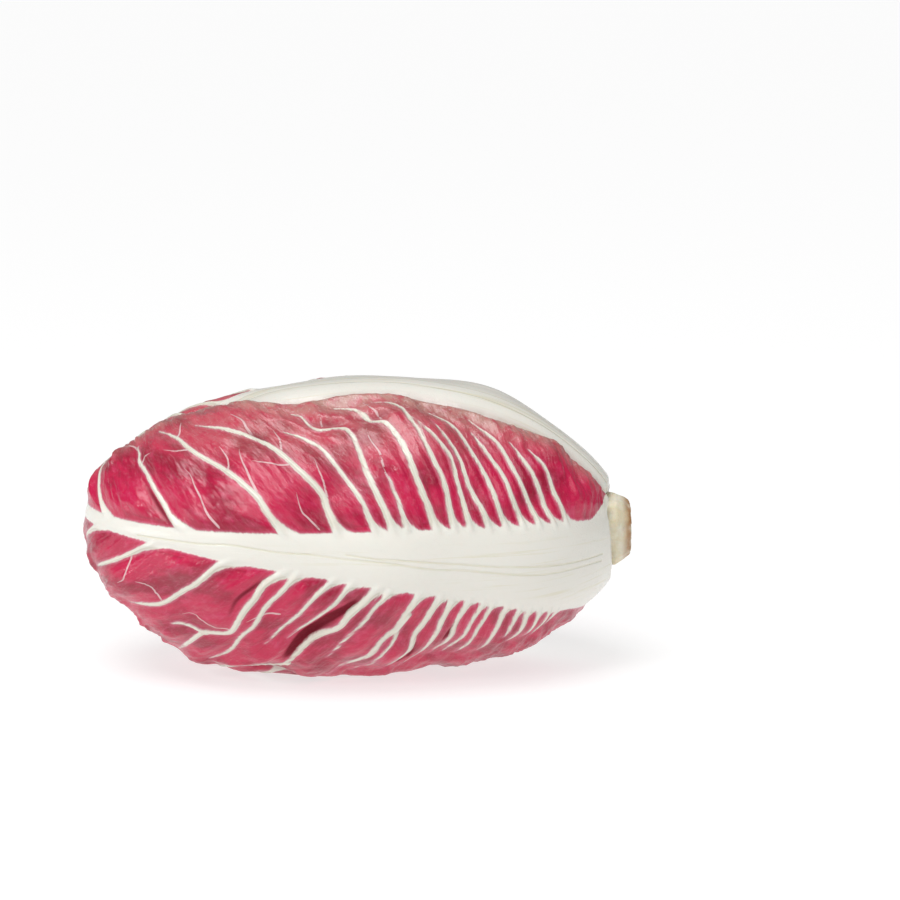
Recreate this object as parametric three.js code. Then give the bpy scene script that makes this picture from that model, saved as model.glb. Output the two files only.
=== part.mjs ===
// A head of Treviso radicchio lying on its side: thick ribbed leaves wrapped over each other round a
// short stem. Millimetres, +Z up. The head's axis runs along X, with the cut stem towards +X and the
// closed leaf tips towards -X, and the middle of its underside rests on a small flat spot.
//
// Every place in the head is a direction from its middle and a depth under its skin. The leaves are
// laid from the outside in: each is pressed under the ones before it and rises between them.
import * as THREE from "three";

// The skin that the leaves lie under: two half ellipsoids that meet at the widest section
const TIP_LENGTH = 83.5;
const BASE_LENGTH = 95;
const HEAD_RADIUS = 49.8;
const FLAT_SPOT_DEPTH = 3.3;
// A fuller shoulder on the stem half: its share, place (as a share of the way) and spread
const SHOULDER = 0.04;
const SHOULDER_PLACE = 0.6;
const SHOULDER_SPREAD = 0.2;
const LEAN = 0.062;
const LEAN_TURN = 3.2;
const LEAN_START = -0.85;
const LEAN_FADE = 0.4;
// Inner layers are shorter: a point sunk to the axis keeps this share of its distance along it
const SPINE_SHARE = 0.55;

// The stem: its cut face stands a little proud of the outer leaves, and its cone runs on inside
const STEM_END = 97.5;
const STEM_FACE_RADIUS = 9.5;
const STEM_RADIUS = 12.6;
const STEM_CONE_END = 46;
const STEM_SIDES = 20;

// Leaf blades
const BLADE_THICKNESS = 0.9;
const RIB_PROUD_SHARE = 0.32;
const RIB_HALF_WIDTH = 0.36;
const SIDE_VEIN_HEIGHT = 1.0;
const EDGE_TUCK = 0.7;
const EDGE_WAVE = 0.028;
const EDGE_WAVE_START = 2;
const LEAF_GAP = 0.95;

// Where a leaf's outline lies, in radians round the head from its middle: stem end, and fullest place
const FULLNESS = 0.68;
const ROUNDNESS = 0.52;
const LOBE = 0.22;
const LOBE_PLACE = 0.73;
const LOBE_SPREAD = 0.1;
const BASE_HALF_WIDTH = 0.42;
const BASE_CURL = 1.25;
const BASE_CURL_END = 0.2;
const POLE_SQUEEZE = 2 / Math.PI;
const MIDRIB_DRIFT = 0.04;
const MIDRIB_SWAY = 0.24;
const DRIFT_SHARES = [1, -0.75];
const SWAY_SHARES = [1, 0.2];
const VEIN_SPREAD = 1.35;
const VEIN_SWEEP = 0.5;

// The rings of leaves, from the outside in. Turn is measured up from the side that faces -Y.
const RINGS = [
  { name: "outer_leaf", turns: [0, 86, 230], base: 0.29, tip: 1.68, rib: 5.2, level: 0, rows: 26, columns: 7 },
  { name: "wrapper_leaf", turns: [50, 172, 305], base: 0.36, tip: 1.56, rib: 4.2, level: 1.2, rows: 20, columns: 6 },
  { name: "inner_leaf", turns: [8, 128, 255], base: 0.44, tip: 1.5, rib: 3, level: 7, rows: 14, columns: 4 },
  { name: "young_leaf", turns: [75, 190, 318], base: 0.53, tip: 1.42, rib: 2.2, level: 13, rows: 12, columns: 4 },
];
const RING_TIP_STEP = 0.06;
const HALF_WIDTH = 1.2;
const HALF_WIDTH_STEP = 0.022;

const LEAF_COLOUR = 0xa32145;
const INNER_LEAF_COLOUR = 0x8e1a3c;
const STEM_COLOUR = 0xe9e5d6;

// A number from 0 to 1 that is always the same for the same whole number
function scatter(index) {
  const value = Math.sin(index * 12.9898 + 4.1414) * 43758.5453;
  return value - Math.floor(value);
}

const smooth = (t) => {
  const x = Math.min(1, Math.max(0, t));
  return x * x * (3 - 2 * x);
};

// The skin: how far it stands from the head's long axis, fuller at the shoulder and leaning end to end
const shoulder = (along) => SHOULDER * Math.exp(-(((along - SHOULDER_PLACE) / SHOULDER_SPREAD) ** 2));
const lean = (along) => LEAN * Math.sin(LEAN_TURN * along) * smooth((along - LEAN_START) / LEAN_FADE);
const radiusToward = (n) => HEAD_RADIUS * (1 + shoulder(n.x) + lean(n.x) * n.z * Math.abs(n.z));

// The point at a depth under the skin, in a direction n from the head's middle
function pointAt(n, depth) {
  const sunk = depth / HEAD_RADIUS;
  const length = n.x > 0 ? BASE_LENGTH : TIP_LENGTH;
  const radius = radiusToward(n) * (1 - sunk);
  return new THREE.Vector3(length * n.x * (1 - sunk * (1 - SPINE_SHARE)), radius * n.y, radius * n.z);
}

// How many millimetres of true thickness one millimetre of depth makes in that direction
function depthScale(n) {
  const length = n.x > 0 ? BASE_LENGTH : TIP_LENGTH;
  const along = n.x * n.x;
  const round = 1 - along;
  return (
    ((1 - SPINE_SHARE) * along + round) /
    (HEAD_RADIUS * Math.sqrt(along / length ** 2 + round / HEAD_RADIUS ** 2))
  );
}

// The depth of the surface that the head rests on: nothing may stand out below it
function floorDepth(n) {
  const drop = -radiusToward(n) * n.z;
  return drop > 0 ? HEAD_RADIUS * (1 - (HEAD_RADIUS - FLAT_SPOT_DEPTH) / drop) : -HEAD_RADIUS;
}

// The depth already taken in every direction, kept on two round charts, one about each end
const CHART_STEP = 0.025;
const CHART_REACH = 1.8;
const CHART_CELLS = Math.ceil((2 * CHART_REACH) / CHART_STEP) + 3;

class Ceiling {
  constructor() {
    this.charts = [1, -1].map(() => new Float64Array(CHART_CELLS * CHART_CELLS));
  }

  // Chart coordinates of a direction, counted in cells
  place(n, end) {
    const angle = Math.acos(Math.min(1, Math.max(-1, n.x * end)));
    const round = Math.hypot(n.y, n.z) || 1;
    const middle = (CHART_CELLS - 1) / 2;
    return [
      middle + (angle * n.y) / round / CHART_STEP,
      middle + (angle * n.z) / round / CHART_STEP,
      angle,
    ];
  }

  lower(n, depth) {
    [1, -1].forEach((end, chart) => {
      const [x, y, angle] = this.place(n, end);
      if (angle > CHART_REACH) return;
      for (let i = Math.round(x) - 1; i <= Math.round(x) + 1; i++)
        for (let j = Math.round(y) - 1; j <= Math.round(y) + 1; j++) {
          const cell = i * CHART_CELLS + j;
          this.charts[chart][cell] = Math.max(this.charts[chart][cell], depth);
        }
    });
  }

  depth(n) {
    const chart = n.x > 0 ? 0 : 1;
    const [x, y] = this.place(n, n.x > 0 ? 1 : -1);
    let deepest = 0;
    for (let i = Math.floor(x) - 1; i <= Math.floor(x) + 2; i++)
      for (let j = Math.floor(y) - 1; j <= Math.floor(y) + 2; j++)
        deepest = Math.max(deepest, this.charts[chart][i * CHART_CELLS + j]);
    return deepest;
  }
}

// The outline and relief of one leaf, in radians along (p) and across (q) from the middle of its back
class Leaf {
  constructor(ring, place, index) {
    this.index = index;
    this.turn = (ring.turns[place] * Math.PI) / 180;
    this.base = ring.base - Math.PI / 2;
    this.tip = ring.tip - RING_TIP_STEP * place;
    this.halfWidth = HALF_WIDTH - HALF_WIDTH_STEP * index;
    this.rib = ring.rib;
    this.drift = MIDRIB_DRIFT * (DRIFT_SHARES[index] ?? 2 * scatter(index + 50) - 1);
    this.sway = MIDRIB_SWAY * (SWAY_SHARES[index] ?? 2 * scatter(index) - 1);
    this.lobe = index === 0 ? LOBE : 0;
  }

  direction(p, q) {
    const reach = Math.hypot(p, q);
    const share = reach < 1e-9 ? 1 : Math.sin(reach) / reach;
    const rise = Math.cos(reach);
    const sine = Math.sin(this.turn);
    const cosine = Math.cos(this.turn);
    return new THREE.Vector3(
      -p * share,
      -cosine * rise + sine * q * share,
      sine * rise + cosine * q * share,
    );
  }

  midrib(p) {
    return this.drift + this.sway * Math.sin(p);
  }

  width(p) {
    const t = Math.min(1, Math.max(0, (p - this.base) / (this.tip - this.base)));
    const blade = Math.max(0, Math.sin(Math.PI * t ** FULLNESS));
    const wave = 1 + EDGE_WAVE * Math.sin(17 * t + 3 * this.index + EDGE_WAVE_START) * smooth(4 * t);
    const lobe = 1 + this.lobe * Math.exp(-(((t - LOBE_PLACE) / LOBE_SPREAD) ** 2));
    return Math.hypot(BASE_HALF_WIDTH * (1 - t), this.halfWidth * blade ** ROUNDNESS) * wave * lobe;
  }

  // Rows follow the side veins: they leave the midrib close together near the stem and sweep to the tip
  place(v, u) {
    const length = this.tip - this.base;
    const share = v ** VEIN_SPREAD;
    const sweep = VEIN_SWEEP * (1 - share) * smooth((share - 0.2) / 0.3);
    const root = this.base + length * share;
    const end = root + length * sweep;
    const p = root + (end - root) * Math.abs(u) ** 1.4;
    const q = this.midrib(p) + u * this.width(end);
    const curl = 1 - smooth(v / BASE_CURL_END);
    const [curledP, curledQ] = this.roundStem(root, u);
    return [p + (curledP - p) * curl, q + (curledQ - q) * curl];
  }

  // The same place on a ring round the stem, where the leaf's foot clasps it
  roundStem(root, u) {
    const reach = root + Math.PI / 2;
    const foot = this.base + Math.PI / 2;
    const footQ = this.midrib(this.base) * POLE_SQUEEZE;
    const round = Math.asin(footQ / foot) + BASE_CURL * u;
    return [reach * Math.cos(round) - Math.PI / 2, (reach * Math.sin(round)) / POLE_SQUEEZE];
  }

  ribShape(v, u) {
    const half = (RIB_HALF_WIDTH * (1 - v) ** 0.8 + 0.03) / Math.max(0.1, this.width(this.base + v * 3));
    return Math.exp(-((u / half) ** 2));
  }

  thickness(v, u) {
    return BLADE_THICKNESS + (this.rib - BLADE_THICKNESS) * (1 - v) ** 1.1 * this.ribShape(v, u);
  }

  // How far the back of the leaf stands out: the midrib, and a ridge along every second row
  relief(v, u, onVein) {
    const rib = RIB_PROUD_SHARE * this.rib * (1 - v) ** 1.1 * this.ribShape(v, u);
    const across = Math.abs(u);
    const vein = onVein ? SIDE_VEIN_HEIGHT * smooth(across * 4) * (1 - smooth((across - 0.75) * 4)) : 0;
    return rib + vein;
  }
}

// Lifts a sheet of depths off what lies over it, and keeps it as smooth as a stiff leaf
function drape(depths, limits, passes) {
  const rows = depths.length;
  const columns = depths[0].length;
  for (let pass = 0; pass < passes; pass++) {
    const before = depths.map((row) => row.slice());
    for (let i = 0; i < rows; i++)
      for (let j = 0; j < columns; j++) {
        const up = before[Math.min(rows - 1, i + 1)][j];
        const down = before[Math.max(0, i - 1)][j];
        const right = before[i][Math.min(columns - 1, j + 1)];
        const left = before[i][Math.max(0, j - 1)];
        const mean = (4 * before[i][j] + up + down + right + left) / 8;
        depths[i][j] = Math.max(mean, limits[i][j]);
      }
  }
}

// The closed mesh of a sheet with an outer and an inner face, both as rows of points
function shellGeometry(outer, inner) {
  const rows = outer.length;
  const columns = outer[0].length;
  const positions = [...outer.flat(), ...inner.flat()].flatMap((point) => point.toArray());
  const out = (i, j) => i * columns + j;
  const under = (i, j) => rows * columns + out(i, j);
  const faces = [];
  const quad = (a, b, c, d) => faces.push(a, b, c, a, c, d);
  for (let i = 0; i < rows - 1; i++)
    for (let j = 0; j < columns - 1; j++) {
      faces.push(out(i, j), out(i, j + 1), out(i + 1, j + 1), out(i, j), out(i + 1, j + 1), out(i + 1, j));
      faces.push(under(i, j), under(i + 1, j + 1), under(i, j + 1));
      faces.push(under(i, j), under(i + 1, j), under(i + 1, j + 1));
    }
  for (let j = 0; j < columns - 1; j++) {
    quad(out(0, j), under(0, j), under(0, j + 1), out(0, j + 1));
    quad(out(rows - 1, j + 1), under(rows - 1, j + 1), under(rows - 1, j), out(rows - 1, j));
  }
  for (let i = 0; i < rows - 1; i++) {
    quad(out(i + 1, 0), under(i + 1, 0), under(i, 0), out(i, 0));
    quad(out(i, columns - 1), under(i, columns - 1), under(i + 1, columns - 1), out(i + 1, columns - 1));
  }
  const geometry = new THREE.BufferGeometry();
  geometry.setAttribute("position", new THREE.Float32BufferAttribute(positions, 3));
  geometry.setIndex(faces);
  geometry.computeVertexNormals();
  return geometry;
}

const TIP_ROW = 0.985;
const DRAPE_PASSES = 8;

// Lays one leaf under the ceiling, lowers the ceiling to its inner face, and returns its mesh
function layLeaf(ring, place, index, ceiling) {
  const leaf = new Leaf(ring, place, index);
  const rows = ring.rows;
  const columns = 2 * ring.columns;
  const grid = [];
  for (let i = 0; i <= rows; i++) {
    const row = [];
    for (let j = 0; j <= columns; j++) {
      const v = (TIP_ROW * i) / rows;
      const side = (2 * j) / columns - 1;
      const u = Math.sign(side) * Math.abs(side) ** 1.15;
      const [p, q] = leaf.place(v, u);
      const n = leaf.direction(p, q);
      const relief = leaf.relief(v, u, i % 2 === 1);
      const tuck = EDGE_TUCK * smooth((Math.abs(u) - 0.7) / 0.3);
      row.push({ p, q, n, v, u, relief, limit: ring.level + tuck });
    }
    grid.push(row);
  }
  pressUnder(leaf, grid, ceiling);
  const limits = grid.map((row) => row.map((spot) => spot.limit + (spot.covered ? spot.relief : 0)));
  const depths = limits.map((row) => row.slice());
  drape(depths, limits, DRAPE_PASSES);
  const outerDepth = grid.map((row, i) =>
    row.map((spot, j) => Math.max(depths[i][j] - spot.relief, floorDepth(spot.n))),
  );
  const innerDepth = grid.map((row, i) =>
    row.map((spot, j) => outerDepth[i][j] + leaf.thickness(spot.v, spot.u) / depthScale(spot.n)),
  );
  const outer = grid.map((row, i) => row.map((spot, j) => pointAt(spot.n, outerDepth[i][j])));
  const inner = grid.map((row, i) => row.map((spot, j) => pointAt(spot.n, innerDepth[i][j])));
  lowerCeiling(leaf, grid, innerDepth, ceiling);
  const colour = index < 3 ? LEAF_COLOUR : INNER_LEAF_COLOUR;
  return meshOf(`${ring.name}_${index + 1}`, shellGeometry(outer, inner), colour, 0.45);
}

// Steps through a sheet's quads more finely than the charts' cells, with a mixing function at each
const SHEET_SAMPLES = 10;
function overSheet(leaf, grid, visit) {
  for (let i = 0; i < grid.length - 1; i++)
    for (let j = 0; j < grid[0].length - 1; j++)
      for (let a = 0; a <= SHEET_SAMPLES; a++)
        for (let b = 0; b <= SHEET_SAMPLES; b++) {
          const s = a / SHEET_SAMPLES;
          const t = b / SHEET_SAMPLES;
          const mix = (get) =>
            (1 - s) * ((1 - t) * get(i, j) + t * get(i, j + 1)) +
            s * ((1 - t) * get(i + 1, j) + t * get(i + 1, j + 1));
          const n = leaf.direction(
            mix((k, m) => grid[k][m].p),
            mix((k, m) => grid[k][m].q),
          );
          visit(i, j, n, mix);
        }
}

// Each corner of a quad goes under the deepest thing over that quad, so no edge cuts through it
function pressUnder(leaf, grid, ceiling) {
  overSheet(leaf, grid, (i, j, n) => {
    const above = ceiling.depth(n);
    if (above === 0) return;
    for (const k of [i, i + 1])
      for (const m of [j, j + 1]) {
        grid[k][m].covered = true;
        grid[k][m].limit = Math.max(grid[k][m].limit, above + LEAF_GAP);
      }
  });
}

// Writes the inner face of a leaf into the ceiling
function lowerCeiling(leaf, grid, innerDepth, ceiling) {
  overSheet(leaf, grid, (i, j, n, mix) => ceiling.lower(n, mix((k, m) => innerDepth[k][m])));
}

function meshOf(name, geometry, colour, roughness) {
  const material = new THREE.MeshStandardMaterial({ color: colour, roughness, metalness: 0 });
  const mesh = new THREE.Mesh(geometry, material);
  mesh.name = name;
  return mesh;
}

// The bud of the youngest leaves, wrapped too tightly to part: a spindle with their overlapping edges
const BUD_ROWS = 18;
const BUD_SIDES = 30;
const BUD_CLEARANCE = 1.2;
const BUD_BASE_ANGLE = 0.95;
const BUD_EDGE_HEIGHT = 1.6;
function budGeometry(ceiling) {
  const points = [];
  const depths = [];
  const directions = [];
  for (let i = 1; i < BUD_ROWS; i++) {
    const angle = BUD_BASE_ANGLE + ((Math.PI - BUD_BASE_ANGLE) * i) / BUD_ROWS;
    const row = [];
    for (let j = 0; j < BUD_SIDES; j++) {
      const round = (2 * Math.PI * j) / BUD_SIDES;
      row.push(new THREE.Vector3(Math.cos(angle), Math.sin(angle) * Math.cos(round), Math.sin(angle) * Math.sin(round)));
    }
    directions.push(row);
    depths.push(row.map((n) => Math.max(24, ceiling.depth(n) + BUD_CLEARANCE)));
  }
  directions.forEach((row, i) =>
    row.forEach((n, j) => {
      const turn = (3 * j) / BUD_SIDES + (1.4 * i) / BUD_ROWS;
      const step = BUD_EDGE_HEIGHT * (turn - Math.floor(turn));
      const around = [depths[i][j]];
      for (const k of [i - 1, i, i + 1])
        for (const m of [j - 1, j, j + 1])
          around.push((depths[k] || depths[i])[(m + BUD_SIDES) % BUD_SIDES]);
      points.push(pointAt(n, Math.max(...around) + step));
    }),
  );
  const last = directions.length - 1;
  const baseX = points.slice(0, BUD_SIDES).reduce((sum, point) => sum + point.x, 0) / BUD_SIDES;
  const tipX = Math.min(...points.map((point) => point.x)) - 2;
  const positions = [...points, new THREE.Vector3(baseX, 0, 0), new THREE.Vector3(tipX, 0, 0)];
  const faces = [];
  const at = (i, j) => i * BUD_SIDES + (j % BUD_SIDES);
  for (let j = 0; j < BUD_SIDES; j++) {
    faces.push(points.length, at(0, j), at(0, j + 1));
    faces.push(points.length + 1, at(last, j + 1), at(last, j));
    for (let i = 0; i < last; i++)
      faces.push(at(i, j), at(i + 1, j + 1), at(i, j + 1), at(i, j), at(i + 1, j), at(i + 1, j + 1));
  }
  const geometry = new THREE.BufferGeometry();
  geometry.setAttribute("position", new THREE.Float32BufferAttribute(positions.flatMap((p) => p.toArray()), 3));
  geometry.setIndex(faces);
  geometry.computeVertexNormals();
  return geometry;
}

// The stem, turned about the head's axis: the cut face, the ring of leaf scars and the inner cone
function stemGeometry() {
  const profile = [
    [0, STEM_END],
    [STEM_FACE_RADIUS, STEM_END],
    [STEM_FACE_RADIUS + 1.4, STEM_END - 1.6],
    [STEM_RADIUS, STEM_END - 5],
    [STEM_RADIUS, STEM_END - 10],
    [STEM_RADIUS - 2.6, 82],
    [STEM_RADIUS - 5.6, 72],
    [STEM_RADIUS - 7.2, 60],
    [STEM_RADIUS - 9, 50],
    [0, STEM_CONE_END],
  ].map(([radius, along]) => new THREE.Vector2(radius, along));
  const geometry = new THREE.LatheGeometry(profile.reverse(), STEM_SIDES);
  geometry.rotateZ(-Math.PI / 2);
  return geometry;
}

const head = new THREE.Group();
const ceiling = new Ceiling();
let index = 0;
for (const ring of RINGS)
  for (let place = 0; place < ring.turns.length; place++)
    head.add(layLeaf(ring, place, index++, ceiling));
head.add(meshOf("heart_bud", budGeometry(ceiling), INNER_LEAF_COLOUR, 0.5));
head.add(meshOf("stem", stemGeometry(), STEM_COLOUR, 0.6));

// The origin is on the surface that the head rests on, under the middle of its bounding box
const box = new THREE.Box3().setFromObject(head, true);
const middle = box.getCenter(new THREE.Vector3());
head.position.set(-middle.x, -middle.y, -box.min.z);

export default head;
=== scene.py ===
import math

import bpy
import numpy as np
from mathutils import Matrix, Vector


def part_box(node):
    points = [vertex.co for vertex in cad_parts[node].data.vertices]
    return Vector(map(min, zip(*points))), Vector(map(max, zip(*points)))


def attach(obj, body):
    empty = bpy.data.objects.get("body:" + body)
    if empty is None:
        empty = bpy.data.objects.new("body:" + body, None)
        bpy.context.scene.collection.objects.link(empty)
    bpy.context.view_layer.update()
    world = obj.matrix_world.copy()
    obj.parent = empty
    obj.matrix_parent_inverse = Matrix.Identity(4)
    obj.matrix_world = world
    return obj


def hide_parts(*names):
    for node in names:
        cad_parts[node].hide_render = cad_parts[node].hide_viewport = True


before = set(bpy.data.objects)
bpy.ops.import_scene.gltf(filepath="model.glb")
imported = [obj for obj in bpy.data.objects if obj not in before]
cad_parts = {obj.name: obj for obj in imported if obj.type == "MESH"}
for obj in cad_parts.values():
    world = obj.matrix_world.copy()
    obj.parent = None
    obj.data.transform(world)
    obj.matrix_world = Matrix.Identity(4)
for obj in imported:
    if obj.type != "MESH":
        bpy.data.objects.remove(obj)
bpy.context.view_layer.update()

MM = 0.001

# The skin that the leaves lie under, in millimetres about the head's middle, as in the part's source
TIP_LENGTH = 83.5
BASE_LENGTH = 95.0
HEAD_RADIUS = 49.8
FLAT_SPOT_DEPTH = 3.3
SHOULDER = 0.04
SHOULDER_PLACE = 0.6
SHOULDER_SPREAD = 0.2
LEAN = 0.062
LEAN_TURN = 3.2
LEAN_START = -0.85
LEAN_FADE = 0.4
SPINE_SHARE = 0.55
STEM_END = 97.5
STEM_FACE_RADIUS = 9.5
STEM_RADIUS = 12.6

# Leaf blades and outlines
BLADE_THICKNESS = 0.8
RIB_PROUD_SHARE = 0.3
EDGE_TUCK = 0.7
FULLNESS = 0.68
ROUNDNESS = 0.52
LOBE = 0.22
LOBE_PLACE = 0.73
LOBE_SPREAD = 0.1
HALF_WIDTH = 1.2
HALF_WIDTH_STEP = 0.022
BASE_HALF_WIDTH = 0.42
BASE_CURL = 1.25
BASE_CURL_END = 0.2
POLE_SQUEEZE = 2 / math.pi
MIDRIB_DRIFT = 0.04
MIDRIB_SWAY = 0.24
DRIFT_SHARES = {0: 1.0, 1: -0.75}
SWAY_SHARES = {0: 1.0, 1: 0.2}
VEIN_SPREAD = 1.35
VEIN_SWEEP = 0.5
SWEEP_START = 0.2
SWEEP_FADE = 0.3
ROW_BEND = 1.4
EDGE_WAVE = 0.028
EDGE_WAVE_START = 2.0
EDGE_WAVE_PITCH = 17
EDGE_WAVE_STEP = 3
EDGE_WAVE_RISE = 4
TIP_ROW = 0.985
LEAF_GAP = 0.4
BLUR_PASSES = (14, 8, 5, 3, 2)

RING_TIP_STEP = 0.06
RINGS = [
    {"name": "outer_leaf", "turns": (0, 86, 230), "base": 0.29, "tip": 1.68, "rib": 5.2, "level": 0,
     "rows": 360, "columns": 240},
    {"name": "wrapper_leaf", "turns": (50, 172, 305), "base": 0.36, "tip": 1.56, "rib": 4.2, "level": 1.2,
     "rows": 180, "columns": 120},
    {"name": "inner_leaf", "turns": (8, 128, 255), "base": 0.44, "tip": 1.5, "rib": 3.0, "level": 7,
     "rows": 90, "columns": 60},
    {"name": "young_leaf", "turns": (75, 190, 318), "base": 0.53, "tip": 1.42, "rib": 2.2, "level": 13,
     "rows": 72, "columns": 48},
]

# The head's middle, in metres, from where the stem's solid lies in the frame
stem_low, stem_high = (np.array(corner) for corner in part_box("stem"))
HEAD_MIDDLE = (stem_low + stem_high) / 2
HEAD_MIDDLE[0] = stem_high[0] - STEM_END * MM

# Numbers and smooth noise that are the same on every run
SCATTER_PITCH = 12.9898
SCATTER_SHIFT = 4.1414
SCATTER_GAIN = 43758.5453
SWELL_LENGTHS = (0.7, 1.3)


def scatter(index):
    value = math.sin(index * SCATTER_PITCH + SCATTER_SHIFT) * SCATTER_GAIN
    return value - math.floor(value)


def pick(limits, seed):
    low, high = limits
    return low + (high - low) * scatter(seed)


def smooth(t):
    x = np.clip(t, 0, 1)
    return x * x * (3 - 2 * x)


def swell(points, wavelength, seed, waves=7):
    total = np.zeros(points.shape[:-1])
    for k in range(waves):
        tilt = 2 * scatter(seed * 31 + k * 3) - 1
        round_angle = 2 * math.pi * scatter(seed * 17 + k * 5 + 1)
        flat = math.sqrt(1 - tilt * tilt)
        way = np.array([flat * math.cos(round_angle), flat * math.sin(round_angle), tilt])
        pitch = 2 * math.pi / (wavelength * pick(SWELL_LENGTHS, seed * 7 + k + 2))
        total += np.sin(points @ way * pitch + 2 * math.pi * scatter(seed * 13 + k * 11))
    return total / math.sqrt(waves)


# A place in the head is a direction from its middle and a depth under its skin
def radius_toward(n):
    along, up = n[..., 0], n[..., 2]
    shoulder = SHOULDER * np.exp(-(((along - SHOULDER_PLACE) / SHOULDER_SPREAD) ** 2))
    lean = LEAN * np.sin(LEAN_TURN * along) * smooth((along - LEAN_START) / LEAN_FADE)
    return HEAD_RADIUS * (1 + shoulder + lean * up * np.abs(up))


def point_at(n, depth):
    sunk = depth / HEAD_RADIUS
    length = np.where(n[..., 0] > 0, BASE_LENGTH, TIP_LENGTH)
    radius = radius_toward(n) * (1 - sunk)
    along = length * n[..., 0] * (1 - sunk * (1 - SPINE_SHARE))
    return np.stack([along, radius * n[..., 1], radius * n[..., 2]], -1)


# How many millimetres of true thickness one millimetre of depth makes in that direction
def depth_scale(n):
    length = np.where(n[..., 0] > 0, BASE_LENGTH, TIP_LENGTH)
    along = n[..., 0] ** 2
    around = 1 - along
    steepness = np.sqrt(along / length ** 2 + around / HEAD_RADIUS ** 2)
    return ((1 - SPINE_SHARE) * along + around) / (HEAD_RADIUS * steepness)


# The depth at which the floor's plane lies, and none where it is out of reach
def floor_depth(n):
    drop = np.maximum(-radius_toward(n) * n[..., 2], 1e-6)
    return np.where(n[..., 2] < 0, HEAD_RADIUS * (1 - (HEAD_RADIUS - FLAT_SPOT_DEPTH) / drop), -HEAD_RADIUS)


# The depth that earlier leaves have taken, on two round charts, one about each end of the head
CHART_STEP = 0.02
CHART_REACH = 1.8
CHART_CELLS = int(2 * CHART_REACH / CHART_STEP) + 7


class Ceiling:
    def __init__(self):
        self.charts = {end: np.zeros((CHART_CELLS, CHART_CELLS)) for end in (1, -1)}

    def cells(self, n, end):
        angle = np.arccos(np.clip(n[..., 0] * end, -1, 1))
        around = np.maximum(np.hypot(n[..., 1], n[..., 2]), 1e-9)
        middle = (CHART_CELLS - 1) / 2
        return (middle + angle * n[..., 1] / around / CHART_STEP,
                middle + angle * n[..., 2] / around / CHART_STEP, angle)

    def lower(self, n, depth):
        for end, chart in self.charts.items():
            x, y, angle = self.cells(n, end)
            near = angle < CHART_REACH
            i, j, d = np.round(x[near]).astype(int), np.round(y[near]).astype(int), depth[near]
            for di in (-1, 0, 1):
                for dj in (-1, 0, 1):
                    np.maximum.at(chart, (i + di, j + dj), d)

    def depth(self, n):
        found = np.zeros(n.shape[:-1])
        for end, chart in self.charts.items():
            x, y, _ = self.cells(n, end)
            mine = (n[..., 0] > 0) == (end > 0)
            i, j = np.round(x[mine]).astype(int), np.round(y[mine]).astype(int)
            found[mine] = chart[i, j]
        return found


# A running mean along both sides of a grid
def blurred(field, reach):
    for axis in (0, 1):
        padded = np.concatenate([np.repeat(field.take([0], axis), reach + 1, axis), field,
                                 np.repeat(field.take([-1], axis), reach, axis)], axis)
        running = np.cumsum(padded, axis)
        size = field.shape[axis]
        high = running.take(range(2 * reach + 1, 2 * reach + 1 + size), axis)
        low = running.take(range(size), axis)
        field = (high - low) / (2 * reach + 1)
    return field


# The outline of a leaf, in radians along (p) and across (q) from the middle of its back
class Leaf:
    def __init__(self, ring, place, index):
        self.index = index
        self.turn = math.radians(ring["turns"][place])
        self.base = ring["base"] - math.pi / 2
        self.tip = ring["tip"] - RING_TIP_STEP * place
        self.half_width = HALF_WIDTH - HALF_WIDTH_STEP * index
        self.rib = ring["rib"]
        self.drift = MIDRIB_DRIFT * DRIFT_SHARES.get(index, 2 * scatter(index + 50) - 1)
        self.sway = MIDRIB_SWAY * SWAY_SHARES.get(index, 2 * scatter(index) - 1)
        self.lobe = LOBE if index == 0 else 0.0

    def direction(self, p, q):
        reach = np.maximum(np.hypot(p, q), 1e-9)
        share = np.sin(reach) / reach
        rise = np.cos(reach)
        sine, cosine = math.sin(self.turn), math.cos(self.turn)
        return np.stack([-p * share, -cosine * rise + sine * q * share, sine * rise + cosine * q * share], -1)

    def midrib(self, p):
        return self.drift + self.sway * np.sin(p)

    def width(self, p):
        t = np.clip((p - self.base) / (self.tip - self.base), 0, 1)
        blade = np.maximum(0, np.sin(math.pi * t ** FULLNESS))
        phase = EDGE_WAVE_PITCH * t + EDGE_WAVE_STEP * self.index + EDGE_WAVE_START
        wave = 1 + EDGE_WAVE * np.sin(phase) * smooth(EDGE_WAVE_RISE * t)
        lobe = 1 + self.lobe * np.exp(-(((t - LOBE_PLACE) / LOBE_SPREAD) ** 2))
        return np.hypot(BASE_HALF_WIDTH * (1 - t), self.half_width * blade ** ROUNDNESS) * wave * lobe

    def round_stem(self, root, u):
        reach = root + math.pi / 2
        foot = self.base + math.pi / 2
        around = math.asin(self.midrib(self.base) * POLE_SQUEEZE / foot) + BASE_CURL * u
        return reach * np.cos(around) - math.pi / 2, reach * np.sin(around) / POLE_SQUEEZE

    def sweep(self, share):
        return VEIN_SWEEP * (1 - share) * smooth((share - SWEEP_START) / SWEEP_FADE)

    def place(self, v, u):
        length = self.tip - self.base
        share = v ** VEIN_SPREAD
        root = self.base + length * share
        end = root + length * self.sweep(share)
        p = root + (end - root) * np.abs(u) ** ROW_BEND
        q = self.midrib(p) + u * self.width(end)
        curl = 1 - smooth(v / BASE_CURL_END)
        curled_p, curled_q = self.round_stem(root, u)
        return p + (curled_p - p) * curl, q + (curled_q - q) * curl


# White midribs: half width added at the leaf's middle, where it thins out, how fast it widens, and its limit
RIB_TIP_HALF_WIDTH = 1.35
RIBS = {0: (5.6, 1.3, 2.3, 17.0), 1: (21.0, 0.68, 1.6, 21.0)}
COMMON_RIB = (7.0, 1.15, 1.4, 17.0)
RIB_REACH = 21.0

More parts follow.
